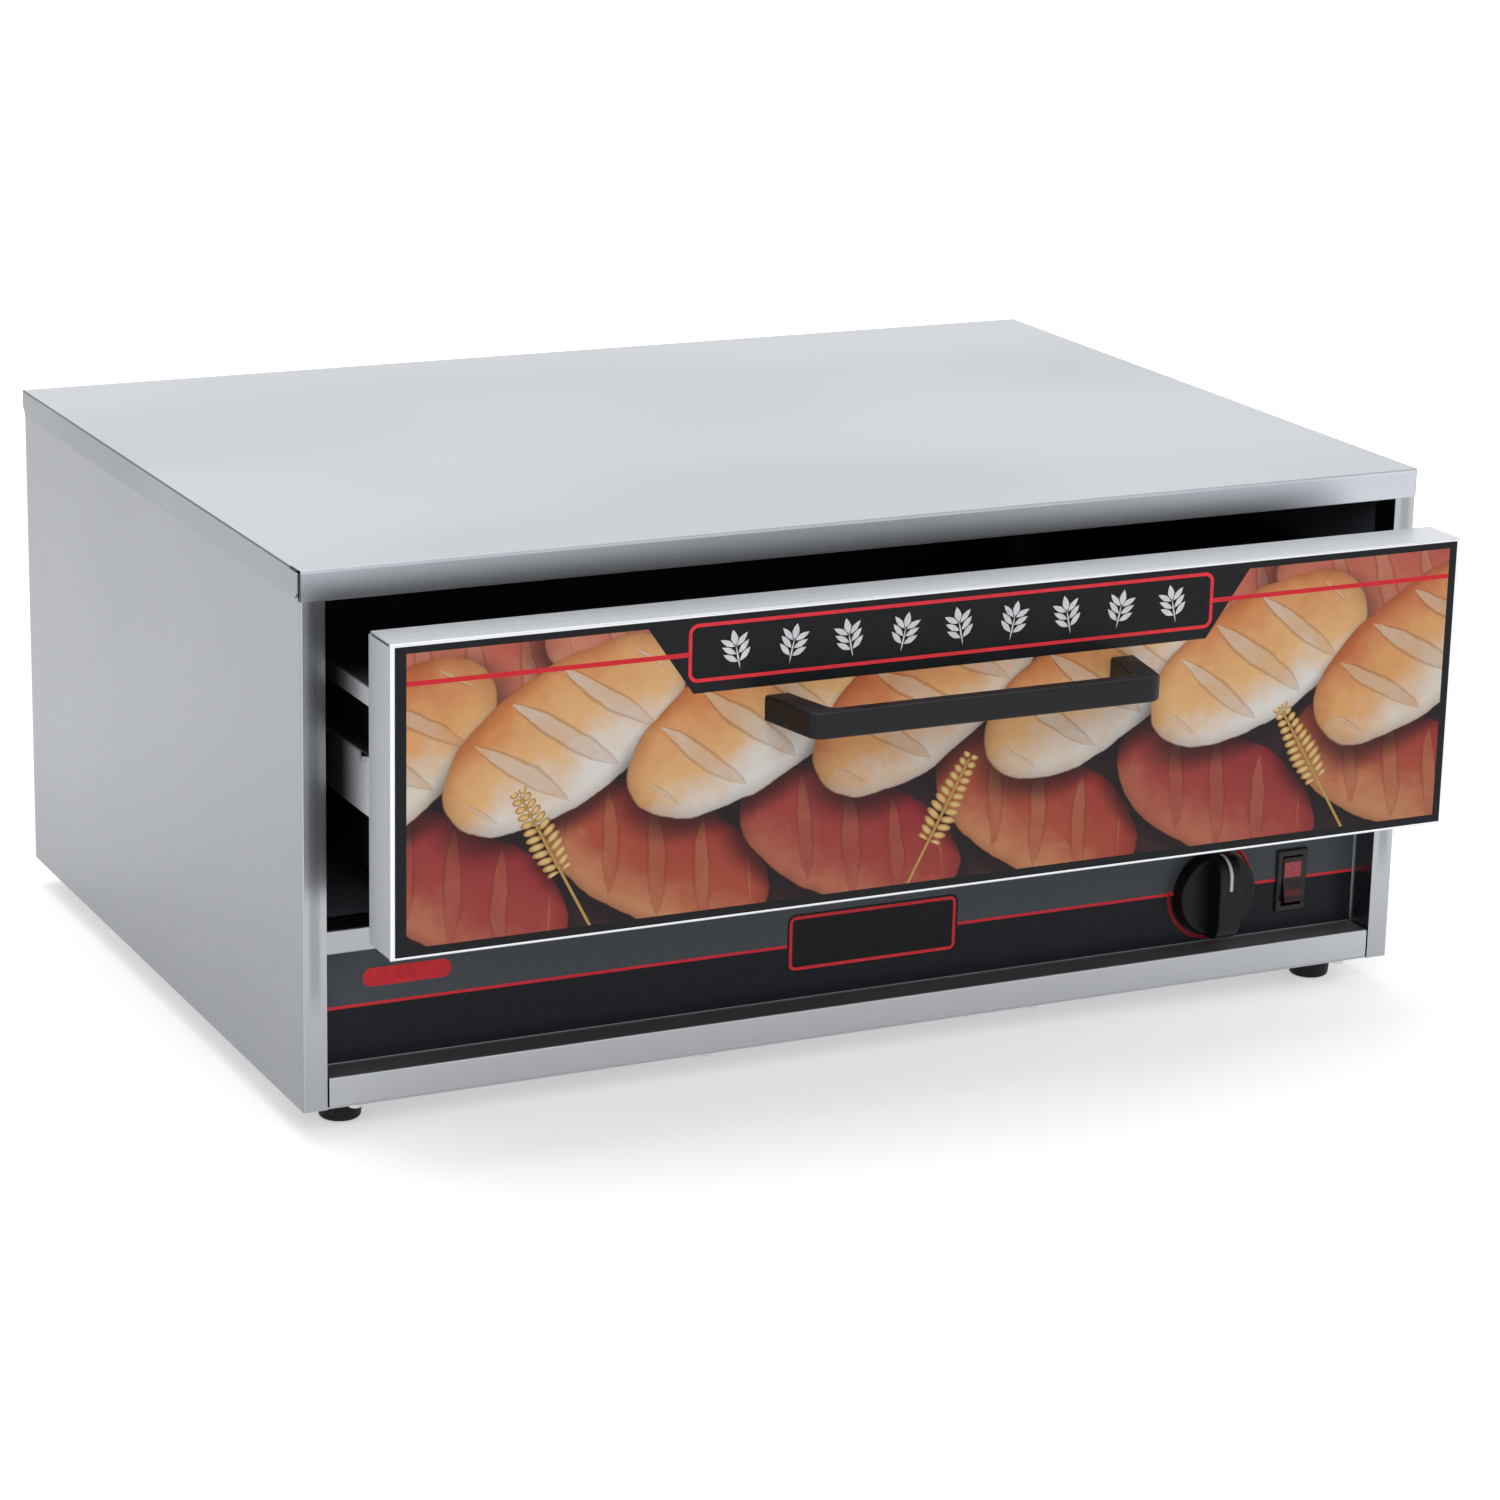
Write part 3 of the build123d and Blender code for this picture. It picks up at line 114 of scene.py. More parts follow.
fill_strength = 0.52
fill_low_colour = (0.42, 0.43, 0.45, 1)
fill_high_colour = (0.86, 0.88, 0.91, 1)
fill_high_from = 0.65
bpy.context.scene.view_settings.view_transform = "Standard"
world = bpy.data.worlds.new("surround")
bpy.context.scene.world = world
world.use_nodes = True
made = world.node_tree
made.nodes.clear()
backdrop_white = made.nodes.new("ShaderNodeBackground")
backdrop_white.inputs["Color"].default_value = (1, 1, 1, 1)
backdrop_white.inputs["Strength"].default_value = 1.0
dome = made.nodes.new("ShaderNodeValToRGB")
dome.color_ramp.elements[0].position = 0.0
dome.color_ramp.elements[0].color = fill_low_colour
dome.color_ramp.elements[1].position = fill_high_from
dome.color_ramp.elements[1].color = fill_high_colour
made.links.new(own(made, "Generated")[2], dome.inputs[0])
soft_fill = made.nodes.new("ShaderNodeBackground")
soft_fill.inputs["Strength"].default_value = fill_strength
made.links.new(dome.outputs["Color"], soft_fill.inputs["Color"])
blend_world = made.nodes.new("ShaderNodeMixShader")
made.links.new(white_rays(made), blend_world.inputs[0])
made.links.new(soft_fill.outputs[0], blend_world.inputs[1])
made.links.new(backdrop_white.outputs[0], blend_world.inputs[2])
world_out = made.nodes.new("ShaderNodeOutputWorld")
made.links.new(blend_world.outputs[0], world_out.inputs["Surface"])

sweep_size = 6
paper_colour = (0.80, 0.80, 0.805, 1)
shade_near_lift, far_lift = 0.43, 0.66
lift_starts, lift_ends = 0.28, 0.72
bpy.ops.object.select_all(action="DESELECT")
bpy.ops.mesh.primitive_plane_add(size=sweep_size, location=(0, 0, 0))
floor = bpy.context.object
floor.name = "floor"
bpy.ops.object.transform_apply(location=True, rotation=True, scale=True)
sweep = bpy.data.materials.new("white_sweep")
sweep.use_nodes = True
made = sweep.node_tree
made.nodes.clear()
paper = made.nodes.new("ShaderNodeBsdfDiffuse")
paper.inputs["Color"].default_value = paper_colour
lift = made.nodes.new("ShaderNodeEmission")
lift.inputs["Color"].default_value = (1, 1, 1, 1)
spot = made.nodes.new("ShaderNodeTexCoord")
away = made.nodes.new("ShaderNodeVectorMath")
away.operation = "LENGTH"
made.links.new(spot.outputs["Object"], away.inputs[0])
# The sweep's white lift is weaker near the cabinet: a painted shade round it on the floor.
lift_level = ranged(made, away.outputs["Value"], shade_near_lift, far_lift, lift_starts, lift_ends)
made.links.new(product(made, white_rays(made), lift_level), lift.inputs["Strength"])
both = made.nodes.new("ShaderNodeAddShader")
made.links.new(paper.outputs[0], both.inputs[0])
made.links.new(lift.outputs[0], both.inputs[1])
out = made.nodes.new("ShaderNodeOutputMaterial")
made.links.new(both.outputs[0], out.inputs["Surface"])
floor.data.materials.append(sweep)


def soft_lamp(name, place, aim, width, height, power):
    """A large rectangular lamp that looks at a point."""
    data = bpy.data.lights.new(name, "AREA")
    data.shape = "RECTANGLE"
    data.size = width
    data.size_y = height
    data.energy = power
    lamp = bpy.data.objects.new(name, data)
    bpy.context.scene.collection.objects.link(lamp)
    lamp.location = place
    lamp.rotation_euler = (Vector(aim) - Vector(place)).to_track_quat("-Z", "Y").to_euler()
    return lamp


soft_lamp("overhead_lamp", (-0.3, 0.5, 2.6), (0, 0.05, 0.1), width=2.4, height=2.0, power=35)
soft_lamp("front_lamp", (-0.6, -2.6, 1.9), (0, 0, 0.15), width=2.2, height=1.4, power=22)
soft_lamp("right_lamp", (2.4, -0.6, 1.6), (0, 0, 0.15), width=1.6, height=1.4, power=12)


# The base sheet closes the cabinet underneath. It is plain mill-finish steel, folded up along the
# rear and screwed to the flanges of the side panels and to the bottom rail.
def finish_cad(names, material):
    """Give the CAD nodes of one finish their material."""
    for name in names:
        node = nodes[name]
        if not node.material_slots:
            node.data.materials.append(material)
        for place in node.material_slots:
            place.material = material


def surface(name, colour, roughness, metallic=0.0, glint=0.5):
    """A new material and its node tree, with the shader's plain numbers set."""
    material = bpy.data.materials.new(name)
    material.use_nodes = True
    made = material.node_tree
    shader = made.nodes["Principled BSDF"]
    shader.inputs["Base Color"].default_value = (*colour, 1)
    shader.inputs["Roughness"].default_value = roughness
    shader.inputs["Metallic"].default_value = metallic
    shader.inputs["Specular IOR Level"].default_value = glint
    return material, made, shader


def drawn_out(axis, run, pitch):
    """How densely noise lies along each axis when it is drawn out along one of them."""
    return tuple(run if letter == axis else pitch for letter in "xyz")


def grain(made, pitch, detail=2.0, roughness=0.5):
    """Noise on the piece's own coordinates, with one density or one for each axis."""
    place = made.nodes.new("ShaderNodeTexCoord")
    mapping = made.nodes.new("ShaderNodeMapping")
    mapping.inputs["Scale"].default_value = pitch if isinstance(pitch, tuple) else (pitch,) * 3
    noise = made.nodes.new("ShaderNodeTexNoise")
    noise.inputs["Scale"].default_value = 1.0
    noise.inputs["Detail"].default_value = detail
    noise.inputs["Roughness"].default_value = roughness
    made.links.new(place.outputs["Object"], mapping.inputs["Vector"])
    made.links.new(mapping.outputs["Vector"], noise.inputs["Vector"])
    return noise.outputs["Fac"]


def shade(colour, share, plus=0.0):
    """A colour made lighter or darker by a share, and lifted by a little more."""
    return tuple(min(1.0, part * share + plus) for part in colour)


def tinted(made, factor, first, second, kind="MIX"):
    """Two colours mixed, each a socket or three numbers."""
    mixer = made.nodes.new("ShaderNodeMix")
    mixer.data_type = "RGBA"
    mixer.blend_type = kind
    places = (mixer.inputs["Factor"], mixer.inputs[6], mixer.inputs[7])
    for place, value in zip(places, (factor, first, second)):
        if isinstance(value, tuple):
            place.default_value = (*value, 1)
        elif isinstance(value, (int, float)):
            place.default_value = value
        else:
            made.links.new(value, place)
    return mixer.outputs[2]


def mottled(made, noise, dark, light):
    """One colour in the noise's hollows and another on its crests."""
    return tinted(made, ranged(made, noise, 0, 1), dark, light)


def bumped(made, shader, height, strength, distance):
    """Fine relief on the shader from a height."""
    relief = made.nodes.new("ShaderNodeBump")
    relief.inputs["Strength"].default_value = strength
    relief.inputs["Distance"].default_value = distance
    made.links.new(height, relief.inputs["Height"])
    made.links.new(relief.outputs["Normal"], shader.inputs["Normal"])


def dressed(made, shader, colour, roughness):
    """Give the shader its colour and its roughness, each a socket."""
    made.links.new(colour, shader.inputs["Base Color"])
    made.links.new(roughness, shader.inputs["Roughness"])


def times(made, shader, share):
    """Multiply the shader's base colour by a share, a socket or a number."""
    base = shader.inputs["Base Color"].links[0].from_socket
    grey = tinted(made, share, (0, 0, 0), (1, 1, 1))
    made.links.new(tinted(made, 1.0, base, grey, kind="MULTIPLY"), shader.inputs["Base Color"])


polish_run, polish_pitch, polish_share = 9, 2600, 0.6
band_run, band_pitch, band_share = 2, 240, 0.4
hand_mark_pitch = 7


def brushed_steel(name, colour, along, gloss=0.30, streak=0.02, side_shade_share=1.0, fold_shade_share=0.8):
    """Steel sheet with its polishing grain along one axis and faint marks, with painted shade on faces
    that look sideways and on its folds.
    """
    material, made, shader = surface(name, colour, gloss, metallic=1.0)
    lines = grain(made, drawn_out(along, polish_run, polish_pitch), detail=3.0)
    bands = grain(made, drawn_out(along, band_run, band_pitch), detail=1.0)
    hands = grain(made, hand_mark_pitch, detail=3.0)
    both = sums(made, "ADD", product(made, lines, polish_share), product(made, bands, band_share))
    base = mottled(made, both, shade(colour, 1 - streak), shade(colour, 1 + streak))
    marks = ranged(made, hands, -0.012, 0.018)
    streaks = ranged(made, both, gloss - 0.014, gloss + 0.018)
    dressed(made, shader, base, sums(made, "ADD", marks, streaks))
    # Faces that look sideways and the sheet's folds are painted darker: a painted shade.
    across, ahead, upward = [sums(made, "ABSOLUTE", part) for part in own(made, "Normal")]
    times(made, shader, ranged(made, across, 1, side_shade_share, from_low=0.75, from_high=0.95))
    to_fold = product(made, sums(made, "MAXIMUM", across, ahead), sums(made, "MAXIMUM", ahead, upward))
    on_fold = sums(made, "SUBTRACT", to_fold, product(made, ahead, ahead))
    times(made, shader, ranged(made, on_fold, 1, fold_shade_share, from_low=0.10, from_high=0.30))
    bumped(made, shader, lines, strength=0.05, distance=0.00003)
    return material


finish_cad(["base_pan"], brushed_steel("mill_steel", (0.40, 0.41, 0.43), "x", gloss=0.42, streak=0.04))


# Four black rubber feet under the base, each moulded with a slight taper and a screw up its middle.
# Small bright pan-head screws hold the base sheet to the rail and the panels.
def moulded(name, colour, roughness, pitch=2200, relief=0.25, glint=0.5):
    """Moulded plastic or rubber with a fine even grain and slightly uneven sheen."""
    material, made, shader = surface(name, colour, roughness, glint=glint)
    fine = grain(made, pitch)
    broad = grain(made, 40, detail=3.0)
    base = mottled(made, broad, shade(colour, 0.85), shade(colour, 1.25, plus=0.002))
    sheen = sums(made, "ADD", ranged(made, broad, -0.05, 0.05),
                 ranged(made, fine, roughness - 0.04, roughness + 0.04))
    dressed(made, shader, base, sheen)
    bumped(made, shader, fine, strength=relief, distance=0.00006)
    return material


foot_rubber = moulded("foot_rubber", (0.007, 0.007, 0.008), 0.60, pitch=1400, relief=0.3, glint=0.25)
finish_cad(["rubber_feet"], foot_rubber)


def plated(name, colour, gloss):
    """Small turned or pressed pieces with a bright plating, a little uneven."""
    material, made, shader = surface(name, colour, gloss, metallic=1.0)
    cloud = grain(made, 130, detail=4.0)
    warm = (colour[0], colour[1] * 0.97, colour[2] * 0.9)
    sheen = ranged(made, cloud, gloss - 0.06, gloss + 0.1)
    dressed(made, shader, mottled(made, cloud, warm, colour), sheen)
    return material


screw_plating = plated("screw_zinc", (0.66, 0.67, 0.69), 0.24)
finish_cad(["base_screws"], screw_plating)


# The bottom rail and the sill rail run between the two posts. Both are folded channels of satin steel,
# brushed along their length; the rail's ledge is rougher than its front and painted darker as a painted
# shade, and the sill is a darker copy of the same steel, a painted shade under the drawer.
ledge_roughness, ledge_shade_share = 0.24, 0.72
rail_steel = brushed_steel("rail_steel", (0.455, 0.468, 0.487), "x")
made = rail_steel.node_tree
shader = made.nodes["Principled BSDF"]
polish = shader.inputs["Roughness"].links[0].from_socket
upward = own(made, "Normal")[2]
rougher = ranged(made, upward, 0.0, ledge_roughness, from_low=0.6, from_high=0.9)
made.links.new(sums(made, "ADD", polish, rougher), shader.inputs["Roughness"])
# The ledge's colour is painted darker: a painted shade.
times(made, shader, ranged(made, upward, 1.0, ledge_shade_share, from_low=0.6, from_high=0.9))
finish_cad(["bottom_rail"], rail_steel)
# The sill's steel is a darker copy of the rail's: a painted shade under the drawer front.
finish_cad(["sill_rail"], brushed_steel("sill_steel", (0.36, 0.373, 0.392), "x"))


# The side panels carry the corner posts, folded from the same sheet. Their grain runs upright; the panels
# are a darker copy of the cabinet's steel, a painted shade on faces that look sideways, and the posts'
# faces carry a painted dark reflection down their middle and a painted highlight beside the opening.
def gap_to(made, value, middle):
    """How far a value is from another, either way."""
    return sums(made, "ABSOLUTE", sums(made, "SUBTRACT", value, middle))


def only_where(made, mask, share):
    """The share where the mask is one, and one where it is zero."""
    return sums(made, "ADD", 1.0, product(made, sums(made, "SUBTRACT", share, 1.0), mask))


in_face = 0.0003
post_middle = 0.3049
post_reflection_share, post_highlight_share = 0.72, 1.30
band_half_width, band_fades_out = 0.0015, 0.0060
band_foot, band_full_height = 0.062, 0.082
# A darker copy of the cabinet's steel, its sideways faces darker still: a painted shade.
side_steel = brushed_steel("side_steel", (0.381, 0.396, 0.415), "z", gloss=0.27, side_shade_share=0.635)
made = side_steel.node_tree
shader = made.nodes["Principled BSDF"]
x_now, y_now, z_now = own(made)
# A painted dark reflection runs down the middle of each post's face, with a painted highlight towards its
# edges.
from_middle = gap_to(made, sums(made, "ABSOLUTE", x_now), post_middle)
reflection_and_highlight = ranged(made, from_middle, post_reflection_share, post_highlight_share, band_half_width, band_fades_out)
above_foot = ranged(made, z_now, 0, 1, band_foot, band_full_height)
on_post = sums(made, "LESS_THAN", y_now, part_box("left_side_panel")[0].y + in_face)
times(made, shader, only_where(made, on_post, only_where(made, above_foot, reflection_and_highlight)))
finish_cad(["left_side_panel", "right_side_panel"], side_steel)


# The back panel closes the cabinet with a row of upright vents low down. Six screws hold it to the
# rear flanges of the side panels.
finish_cad(["rear_panel"], brushed_steel("rear_steel", (0.46, 0.475, 0.49), "x", gloss=0.34))
finish_cad(["rear_screws"], screw_plating)


# The top cover is one folded sheet: flat top, side skirts and the header over the drawer. It is brushed
# from side to side and a little cloudy, with painted shade on its skirts, its folds and its header, and a
# painted shade in the open seam at each front corner.
cloud_dull, cloud_bright = 0.91, 1.06
side_fold_shade, front_fold_shade = 0.35, 0.72
fold_begins, fold_full = 0.12, 0.35
seam_width, seam_depth, seam_length = 0.0012, 0.0008, 0.012
header_top = 0.0016
header_shade_middle, header_shade_right, header_shade_left_less = 0.40, 0.12, 0.16
# The skirts are painted darker than the top: a painted shade.
top_steel = brushed_steel("top_steel", (0.572, 0.600, 0.638), "x", gloss=0.29, streak=0.012, side_shade_share=0.40)
made = top_steel.node_tree
shader = made.nodes["Principled BSDF"]
cloudy = grain(made, drawn_out("x", 2.6, 4.2), detail=1.0)
times(made, shader, ranged(made, cloudy, cloud_dull, cloud_bright, from_low=0.36, from_high=0.64))
top_low, top_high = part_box("top_cover")
x_now, y_now, z_now = own(made)
across, ahead, upward = own(made, "Normal")
# The folds are painted darker: a painted shade in place of their highlight.
side_fold = sums(made, "ABSOLUTE", product(made, across, upward))
front_fold = sums(made, "ABSOLUTE", product(made, ahead, upward))
times(made, shader, ranged(made, side_fold, 1.0, side_fold_shade, fold_begins, fold_full))
times(made, shader, ranged(made, front_fold, 1.0, front_fold_shade, fold_begins, fold_full))
# The header is painted darker towards its middle and right: a painted shade.
on_header = product(made, sums(made, "LESS_THAN", y_now, top_low.y + in_face),
                    sums(made, "LESS_THAN", z_now, top_high.z - header_top))
rightward = ranged(made, x_now, header_shade_middle, header_shade_right, from_low=0.02, from_high=0.24)
leftward = ranged(made, x_now, header_shade_left_less, 0.0, from_low=-0.30, from_high=-0.10)
header_painted_shade = sums(made, "SUBTRACT", rightward, leftward)
times(made, shader, sums(made, "SUBTRACT", 1.0, product(made, on_header, header_painted_shade)))
# A dark strip is painted at each front corner: a painted shade in the seam.
at_edge = sums(made, "GREATER_THAN", sums(made, "ABSOLUTE", x_now), top_high.x - seam_width)
in_front = sums(made, "LESS_THAN", y_now, top_low.y + seam_depth)
on_top = product(made, sums(made, "GREATER_THAN", z_now, top_high.z - seam_width),
                 sums(made, "LESS_THAN", y_now, top_low.y + seam_length))
seam_painted_shade = product(made, at_edge, sums(made, "MAXIMUM", in_front, on_top))
times(made, shader, sums(made, "SUBTRACT", 1.0, seam_painted_shade))
finish_cad(["top_cover"], top_steel)


# Inside, the chamber is lined with thin sheet on both sides, above and behind. The linings are painted
# dark grey as a painted shade for the closed chamber, with a slight orange-peel texture; the ceiling's
# front lip is bare.
def dark_orange_peel(name, colour, roughness):
    """A dark surface with orange peel and dull patches."""
    material, made, shader = surface(name, colour, roughness, glint=0.2)
    peel = grain(made, 700, detail=1.0)
    dull = grain(made, 14, detail=4.0)
    base = mottled(made, dull, colour, shade(colour, 1.5, plus=0.003))
    dressed(made, shader, base, ranged(made, dull, roughness - 0.1, roughness + 0.12))
    bumped(made, shader, peel, strength=0.3, distance=0.0001)
    return material


bare_colour = (0.74, 0.76, 0.79)
# The linings' dark grey is a painted shade for the closed chamber.
shaded_lining = dark_orange_peel("shaded_lining", (0.105, 0.112, 0.132), 0.56)
finish_cad(["left_liner", "right_liner", "top_liner", "rear_liner", "heat_deck"], shaded_lining)
made = shaded_lining.node_tree
shader = made.nodes["Principled BSDF"]
shaded_lining_colour = shader.inputs["Base Color"].links[0].from_socket
bare_lip = sums(made, "LESS_THAN", own(made)[1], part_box("top_liner")[0].y + in_face)
made.links.new(tinted(made, bare_lip, shaded_lining_colour, bare_colour), shader.inputs["Base Color"])


# Under the chamber floor hangs a shield of thin aluminised sheet. It keeps the element's heat off
# the wiring and the switch below.
aluminised_sheet = brushed_steel("aluminised_sheet", (0.56, 0.57, 0.58), "x", gloss=0.38, streak=0.08)
finish_cad(["heat_shield"], aluminised_sheet)


# The heating element is a bent sheathed tube that turns brown and blue-grey with use. It stands on
# pressed clips and passes through the floor in two ceramic bushes.
def scorched(name, colour, hot_colour, roughness):
    """Metal sheath with heat colours along it."""
    material, made, shader = surface(name, colour, roughness, metallic=0.8)
    heat = grain(made, 26, detail=5.0)
    burnt = ranged(made, heat, 0, 1, from_low=0.4, from_high=0.6)
    sheen = ranged(made, heat, roughness - 0.1, roughness + 0.1)
    dressed(made, shader, tinted(made, burnt, colour, hot_colour), sheen)
    bumped(made, shader, grain(made, 900), strength=0.2, distance=0.00005)
    return material


finish_cad(["heating_element"], scorched("element_sheath", (0.13, 0.12, 0.12), (0.20, 0.15, 0.12), 0.5))
finish_cad(["deck_clips"], plated("clip_steel", (0.50, 0.51, 0.52), 0.35))
finish_cad(["element_bushes"], moulded("bush_ceramic", (0.72, 0.69, 0.62), 0.7, pitch=1800))


# The control panel stands set back between the rails. A printed film covers it: slate above a thin
# red line, nearly black below, so only a bright hem of the steel shows along its lower edge.
finish_cad(["control_panel"], rail_steel)
line_height = 0.0605
line_width = 0.0016
line_red = (0.94, 0.046, 0.060)
film, made, shader = surface("control_film", (0.03, 0.034, 0.04), 0.30, glint=0.12)
z_now = own(made)[2]
above = sums(made, "GREATER_THAN", z_now, line_height)
on_line = sums(made, "LESS_THAN", gap_to(made, z_now, line_height), line_width / 2)
fleck = grain(made, 900)
slate = mottled(made, fleck, (0.090, 0.101, 0.112), (0.106, 0.118, 0.130))
ink = mottled(made, fleck, (0.0125, 0.0145, 0.0185), (0.0165, 0.0190, 0.0240))
ground = tinted(made, above, ink, slate)
dressed(made, shader, tinted(made, on_line, ground, line_red), ranged(made, fleck, 0.27, 0.36))
bumped(made, shader, fleck, strength=0.10, distance=0.00002)
finish_cad(["control_overlay"], film)


# Printed marks on the film: a bare plate with a rounded red border in the middle and a bare red
# pill at the left. Each is a thin skin of ink, laid on the film's face.
film_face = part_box("control_overlay")[0].y
label_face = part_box("drawer_label")[0].y
ink_depth = 0.00004


def ink_material(name, colour, roughness=0.32):
    """Screen-printed ink, very slightly uneven."""
    material, made, shader = surface(name, colour, roughness, glint=0.12)
    uneven = grain(made, 260, detail=3.0)
    base = mottled(made, uneven, shade(colour, 0.9), shade(colour, 1.12, plus=0.004))
    dressed(made, shader, base, ranged(made, uneven, roughness - 0.04, roughness + 0.05))
    return material


red_ink = ink_material("red_ink", (0.93, 0.046, 0.060))
black_ink = ink_material("black_ink", (0.0085, 0.0092, 0.0110))
white_ink = ink_material("white_ink", (0.80, 0.81, 0.82))


def flat_shape(name, x0, x1, z0, z1):
    """A new upright rectangle facing the front, in edit mode, between two corners."""
    bpy.ops.object.select_all(action="DESELECT")
    bpy.ops.mesh.primitive_plane_add(size=1, rotation=(math.pi / 2, 0, 0))
    piece = bpy.context.object
    piece.name = name
    piece.scale = (x1 - x0, z1 - z0, 1)
    piece.location = ((x0 + x1) / 2, 0, (z0 + z1) / 2)
    bpy.ops.object.transform_apply(location=True, rotation=True, scale=True)
    bpy.ops.object.mode_set(mode="EDIT")
    bpy.ops.mesh.select_all(action="SELECT")
    return piece


def printed(piece, face, layer, material, body):
    """Give a flat shape the depth of the ink, set it on its face and let it ride."""
    if bpy.context.object.mode == "EDIT":
        bpy.ops.object.mode_set(mode="OBJECT")
    thick = piece.modifiers.new("ink", "SOLIDIFY")
    thick.thickness = ink_depth
    thick.offset = 0
    bpy.ops.object.select_all(action="DESELECT")
    bpy.context.view_layer.objects.active = piece
    piece.select_set(True)
    bpy.ops.object.modifier_apply(modifier="ink")
    piece.location = (0, face - ink_depth * (0.5 + layer), 0)
    bpy.ops.object.transform_apply(location=True, rotation=False, scale=False)
    bpy.ops.object.mode_set(mode="EDIT")
    bpy.ops.mesh.select_all(action="SELECT")
    bpy.ops.mesh.normals_make_consistent(inside=False)
    bpy.ops.object.mode_set(mode="OBJECT")
    piece.data.materials.clear()
    piece.data.materials.append(material)
    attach(piece, body)
    return piece


def rounded_plate(name, x0, x1, z0, z1, radius):
    """A flat shape with rounded corners, left in edit mode with all of it selected."""
    piece = flat_shape(name, x0, x1, z0, z1)
    bpy.ops.mesh.bevel(offset=radius, offset_type="OFFSET", segments=8, affect="VERTICES")
    bpy.ops.mesh.select_all(action="SELECT")
    return piece


def rounded_border(name, x0, x1, z0, z1, radius, width):
    """A flat frame with rounded corners, left in edit mode."""
    piece = rounded_plate(name, x0, x1, z0, z1, radius)
    bpy.ops.mesh.inset(thickness=width, depth=0)
    bpy.ops.mesh.delete(type="FACE")
    bpy.ops.mesh.select_all(action="SELECT")
    return piece


plate_left, plate_right, plate_low, plate_high = -0.0420, 0.0540, 0.0470, 0.0760
plate_radius, plate_line = 0.0036, 0.0017
ground_margin, ground_radius = 0.0012, 0.0046
pill_left, pill_right, pill_low, pill_high = -0.2737, -0.2273, 0.0692, 0.0788
pill_radius = 0.0047
printed(rounded_plate("plate_ground", plate_left - ground_margin, plate_right + ground_margin,
                      plate_low - ground_margin, plate_high + ground_margin, ground_radius),
        film_face, 0, black_ink, "cabinet")
printed(rounded_border("plate_border", plate_left, plate_right, plate_low, plate_high,
                       plate_radius, plate_line),
        film_face, 1, red_ink, "cabinet")
printed(rounded_plate("red_pill", pill_left, pill_right, pill_low, pill_high, pill_radius),
        film_face, 0, red_ink, "cabinet")


# The thermostat sits behind the panel in a plated case and passes its shaft through the middle of
# two screws; a fine copper tube runs from it to the sensing bulb on the chamber floor.
case_plating = plated("thermostat_case", (0.52, 0.52, 0.50), 0.36)
finish_cad(["thermostat_body", "thermostat_shaft"], case_plating)
finish_cad(["thermostat_screws"], screw_plating)
finish_cad(["capillary_and_bulb"], scorched("copper_tube", (0.62, 0.33, 0.20), (0.50, 0.24, 0.15), 0.3))


# The knob is one black moulding, a round skirt with a bar grip, with a white line let into the
# grip. Round it the film carries a printed ring of red marks that grow with the heat.
knob_plastic = moulded("knob_plastic", (0.0045, 0.0056, 0.0064), 0.38,
                       pitch=1700, relief=0.15, glint=0.20)
finish_cad(["control_knob"], knob_plastic)
finish_cad(["knob_pointer"], moulded("pointer_white", (0.74, 0.78, 0.80), 0.38, pitch=1500))
knob_low, knob_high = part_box("control_knob")
knob_middle = (knob_low + knob_high) / 2
ring_radius = 0.0252
ring_start, ring_end = math.radians(-184), math.radians(64)
ring_marks = 40
mark_width, mark_overlap, mark_reach = 0.0022, 0.0004, 0.0022
even_until = math.radians(-55)
even_heat, least_heat, heat_growth = 0.6, 0.15, 1.3
arc_steps = 96
arc_rim_radii = (ring_radius + 0.0001, ring_radius + 0.0010)


def on_ring(share):
    """The angle at a share of the ring's way round."""
    return ring_start + (ring_end - ring_start) * share


def drawn_shape(name):
    """A small new piece, whose mesh is then drawn point by point."""
    bpy.ops.object.select_all(action="DESELECT")
    bpy.ops.mesh.primitive_plane_add(size=0.001)
    piece = bpy.context.object
    piece.name = name
    return piece


def ring_mark(angle, inner, outer, wide):
    """One flat mark of the ring between two radii, as corners in X and Z."""
    across = Vector((-math.sin(angle), math.cos(angle))) * wide / 2
    out_way = Vector((math.cos(angle), math.sin(angle)))
    return [out_way * inner - across, out_way * outer - across,
            out_way * outer + across, out_way * inner + across]


ring = drawn_shape("knob_scale")
marks = bmesh.new()
for number in range(ring_marks):
    angle = on_ring(number / (ring_marks - 1))
    heat = even_heat if angle < even_until else least_heat + heat_growth * max(0.0, math.sin(angle))
    corners = ring_mark(angle, ring_radius - mark_overlap, ring_radius + mark_reach * heat, mark_width)
    marks.faces.new([marks.verts.new((knob_middle.x + c.x, 0, knob_middle.z + c.y)) for c in corners])
arc_rims = []
for step in range(arc_steps + 1):
    angle = on_ring(step / arc_steps)
    spots = [(knob_middle.x + math.cos(angle) * radius, 0, knob_middle.z + math.sin(angle) * radius)
             for radius in arc_rim_radii]
    arc_rims.append([marks.verts.new(spot) for spot in spots])
for first, second in zip(arc_rims, arc_rims[1:]):
    marks.faces.new((first[0], first[1], second[1], second[0]))
bmesh.ops.recalc_face_normals(marks, faces=marks.faces)
marks.to_mesh(ring.data)
marks.free()
printed(ring, film_face, 1, red_ink, "cabinet")


# The rocker switch snaps into the panel: a black case with a bevelled bezel, and a rocker moulded
# in clear red that looks brighter in its upper half, where the lamp stands behind it.
def between(made, value, low, high):
    """One where the value lies between two others, and zero elsewhere."""
    return product(made, sums(made, "GREATER_THAN", value, low), sums(made, "LESS_THAN", value, high))


